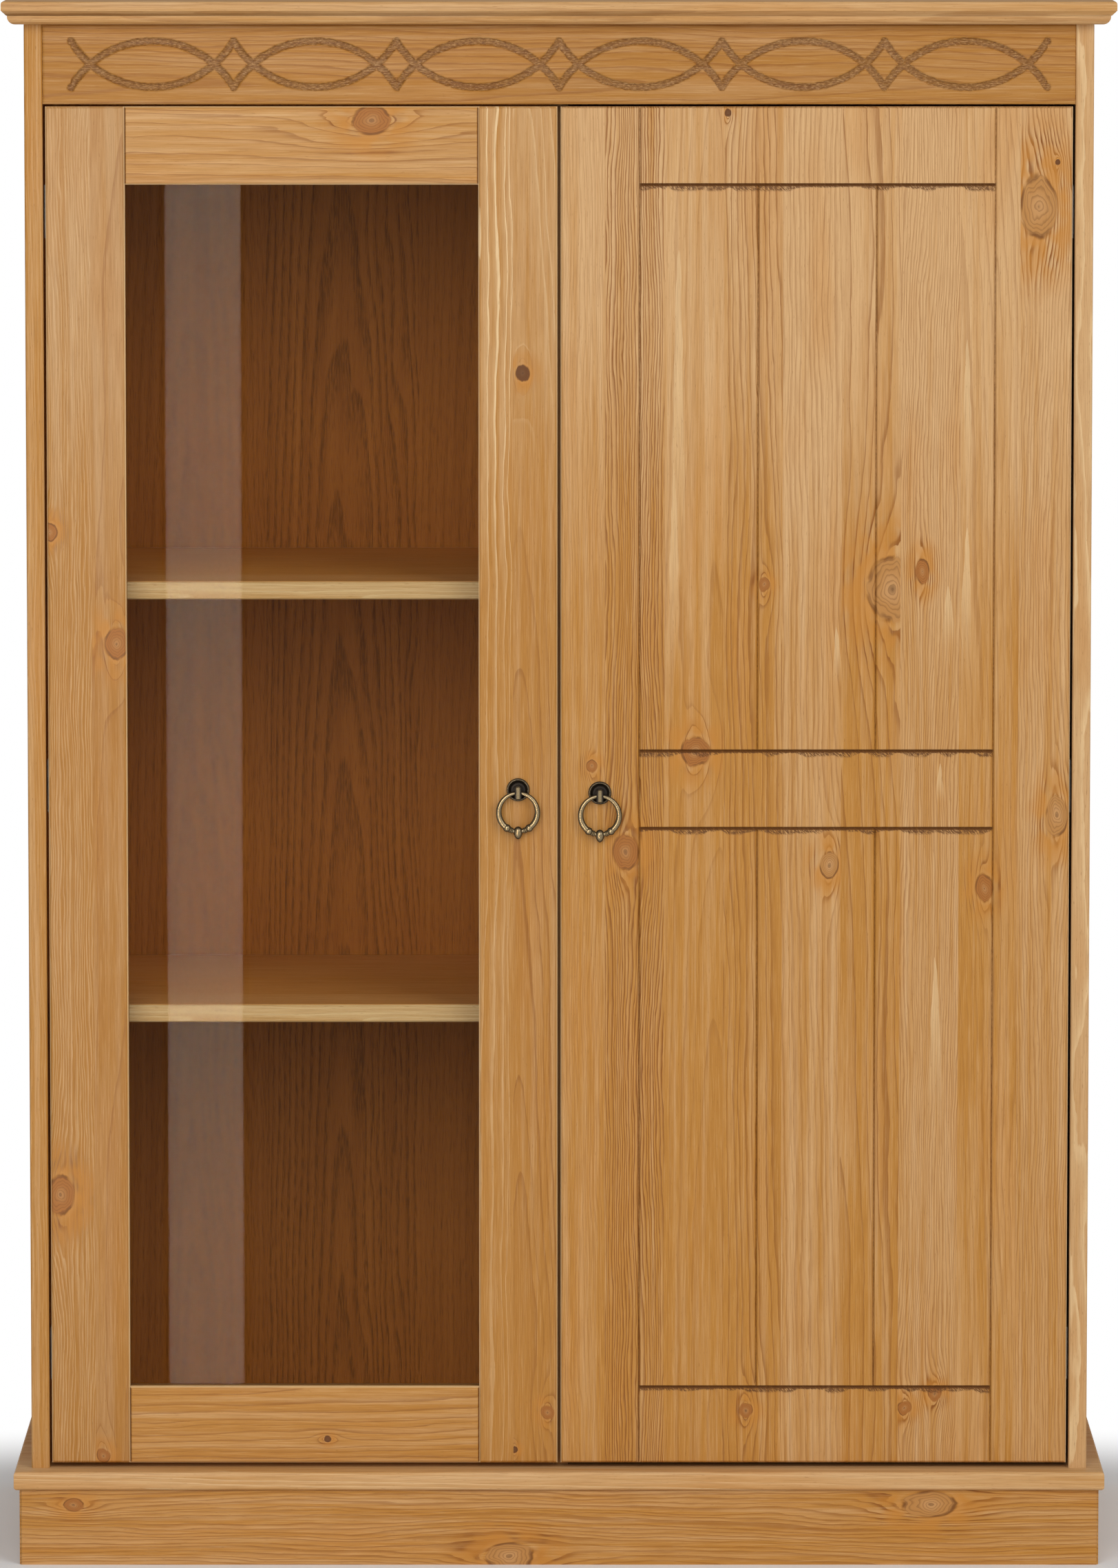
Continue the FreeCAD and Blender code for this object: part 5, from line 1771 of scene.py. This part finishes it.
@dataclass
class Fittings:
    """Hinges, screws, catches, pins, nails, dowels, the pane and the ring pulls."""

    steel: tuple[str, ...] = ("hinge_arms", "hinge_plates", "hinge_plate_screws", "hinge_cups", "hinge_pins",
                              "cup_screws", "strike_plate", "nut")
    dowels: tuple[str, ...] = ("carcass_dowels", "frieze_dowels", "rail_dowels")

    def build(self) -> None:
        """Dresses the fittings and builds the pulls."""
        steel = NickelledSteel().make()
        plastic = BrownPlastic().make()
        beech = Beech().make()
        for hand in ("left", "right"):
            for part in self.steel:
                dress("%s_%s" % (hand, part), steel)
            dress(hand + "_catch", plastic)
            RingPull(hand).build()
        for node in ("shelf_pins", "back_panel_nails"):
            dress(node, steel)
        for node in self.dowels:
            dress(node, beech)
        dress("glass_pane", ClearGlass().make())


@dataclass(frozen=True)
class Lamp:
    """A square soft lamp that faces the highboard's middle, in metres and watts."""

    name: str
    place: tuple[float, float, float]
    size: float
    power: float

    AIM = (0, -0.2, 0.75)

    def build(self) -> None:
        """Hangs the lamp in the scene."""
        light = bpy.data.lights.new(self.name, "AREA")
        light.size = self.size
        light.energy = self.power
        lamp = bpy.data.objects.new(self.name, light)
        lamp.location = self.place
        lamp.rotation_euler = (Vector(self.AIM) - Vector(self.place)).to_track_quat("-Z", "Y").to_euler()
        bpy.context.scene.collection.objects.link(lamp)


@dataclass
class Studio:
    """A plain pale floor, soft lamps and the bright strip that the pane mirrors, in metres.

    Attributes:
        floor_half: Half the floor's side.
        floor_colour: The floor's paint.
        floor_dull: The paint where it is a little darker.
        floor_grain: The size of the paint's unevenness, mm.
        world_level: The light from all around.
        near: Where the floor starts to turn white, from the highboard's outline, mm.
        far: Where it is all white, mm.
        lamps: The lamps.
        strip_place: The middle of the bright strip.
        strip_size: Its width and height.
        strip_edge: From where to where it fades out, from its middle, mm.
        strip_colour: Its colour.
        strip_level: Its strength.
    """

    floor_half: float = 150.0
    floor_colour: Colour = (0.88, 0.88, 0.88, 1.0)
    floor_dull: Colour = (0.86, 0.86, 0.86, 1.0)
    floor_grain: float = 60.0
    world_level: float = 0.35
    near: float = 15.0
    far: float = 280.0
    lamps: tuple[Lamp, ...] = (Lamp("key", (5.5, -7.0, 5.0), 6.0, 325),
                               Lamp("front", (-1.8, -8.0, 4.0), 5.5, 315))
    strip_place: tuple[float, float, float] = (-0.367, -1.0, 0.64)
    strip_size: tuple[float, float] = (0.09, 1.5)
    strip_edge: tuple[float, float] = (36.5, 40.5)
    strip_colour: Colour = (1.0, 0.83, 0.66, 1.0)
    strip_level: float = 22.0

    BLACK = (0.0, 0.0, 0.0, 1.0)
    WHITE = (1.0, 1.0, 1.0, 1.0)

    def build(self) -> None:
        """Builds floor, world, lamps and strip."""
        self.floor()
        world = bpy.data.worlds.new("studio")
        bpy.context.scene.world = world
        world.use_nodes = True
        sky = world.node_tree.nodes["Background"]
        sky.inputs["Color"].default_value = self.WHITE
        sky.inputs["Strength"].default_value = self.world_level
        for lamp in self.lamps:
            lamp.build()
        self.strip()

    def floor(self) -> None:
        """A wide floor that keeps the shadow near the highboard and is white far from it."""
        mesh = bmesh.new()
        bmesh.ops.create_grid(mesh, x_segments=1, y_segments=1, size=self.floor_half)
        floor = self.stage_object("studio_floor", mesh)
        tree = ShaderTree("pale_floor")
        place = tree.place()
        low, high = (corner / MM for corner in CAD_BOX)
        aside = (abs(place["X"] - (low.x + high.x) / 2) - (high.x - low.x) / 2).most(0)
        behind = (abs(place["Y"] - (low.y + high.y) / 2) - (high.y - low.y) / 2).most(0)
        away = (aside * aside + behind * behind).sqrt()
        rays = tree.add("ShaderNodeLightPath", output="Is Camera Ray")
        seen = rays.most(rays.out("Is Glossy Ray")).most(rays.out("Is Transmission Ray"))
        grain = tree.noise(tree.join(place["X"] / self.floor_grain, place["Y"] / self.floor_grain, 0), 2)
        paint = tree.mix(grain, self.floor_colour, self.floor_dull)
        matt = tree.add("ShaderNodeBsdfDiffuse", inputs={"Color": paint})
        white = tree.add("ShaderNodeEmission", inputs={"Color": self.WHITE, "Strength": 1.0})
        floor.data.materials.append(tree.done(tree.add(
            "ShaderNodeMixShader", inputs={0: seen * away.ease(self.near, self.far), 1: matt, 2: white})))

    def strip(self) -> None:
        """Stands a bright strip in front of the glazed door, which shows only in reflections."""
        mesh = bmesh.new()
        bmesh.ops.create_grid(mesh, x_segments=1, y_segments=1, size=0.5)
        bmesh.ops.scale(mesh, vec=(*self.strip_size, 1), verts=mesh.verts)
        bmesh.ops.rotate(mesh, matrix=Matrix.Rotation(-math.pi / 2, 3, "X"), verts=mesh.verts)
        bmesh.ops.translate(mesh, vec=self.strip_place, verts=mesh.verts)
        strip = self.stage_object("bright_strip", mesh)
        for way in ("camera", "diffuse", "transmission", "volume_scatter", "shadow"):
            setattr(strip, "visible_" + way, False)
        tree = ShaderTree("strip_light")
        aside = abs(tree.place()["X"] - self.strip_place[0] / MM)
        glow = tree.mix(aside.fall(*self.strip_edge), self.BLACK, self.strip_colour)
        light = tree.add("ShaderNodeEmission", inputs={"Color": glow, "Strength": self.strip_level})
        strip.data.materials.append(tree.done(light))

    @staticmethod
    def stage_object(name: str, mesh: bmesh.types.BMesh) -> bpy.types.Object:
        """Makes a stage object of a mesh.

        Args:
            name: The object's name.
            mesh: The mesh, which is freed.

        Returns:
            The object.
        """
        data = bpy.data.meshes.new(name)
        mesh.to_mesh(data)
        mesh.free()
        made = bpy.data.objects.new(name, data)
        bpy.context.scene.collection.objects.link(made)
        return made


@dataclass
class PhotoCamera:
    """The photograph's viewpoint, in metres, millimetres of lens and degrees."""

    lens: float = 205.44
    sensor: float = 36.0
    shift_up: float = -0.15
    place: tuple[float, float, float] = (0.0, -8.5425, 1.7699)
    look_down: float = 5.4911
    sight: float = 400.0

    def build(self) -> None:
        """Makes the camera the scene's own."""
        data = bpy.data.cameras.new("photo_camera")
        data.lens = self.lens
        data.sensor_width = self.sensor
        data.shift_y = self.shift_up
        data.clip_end = self.sight
        camera = bpy.data.objects.new("photo_camera", data)
        camera.location = self.place
        camera.rotation_euler = (math.radians(90 - self.look_down), 0, 0)
        bpy.context.scene.collection.objects.link(camera)
        bpy.context.scene.camera = camera


def main() -> None:
    """Builds and dresses the highboard, then its studio and camera."""
    logging.basicConfig(level=logging.INFO, format="%(name)s: %(message)s")
    bpy.context.scene.view_settings.view_transform = "Standard"
    joinery = Joinery()
    joinery.build_mouldings()
    joinery.dress_carcass()
    joinery.dress_doors()
    Fittings().build()
    Studio().build()
    PhotoCamera().build()
    bpy.context.view_layer.update()


if __name__ == "__main__":
    main()
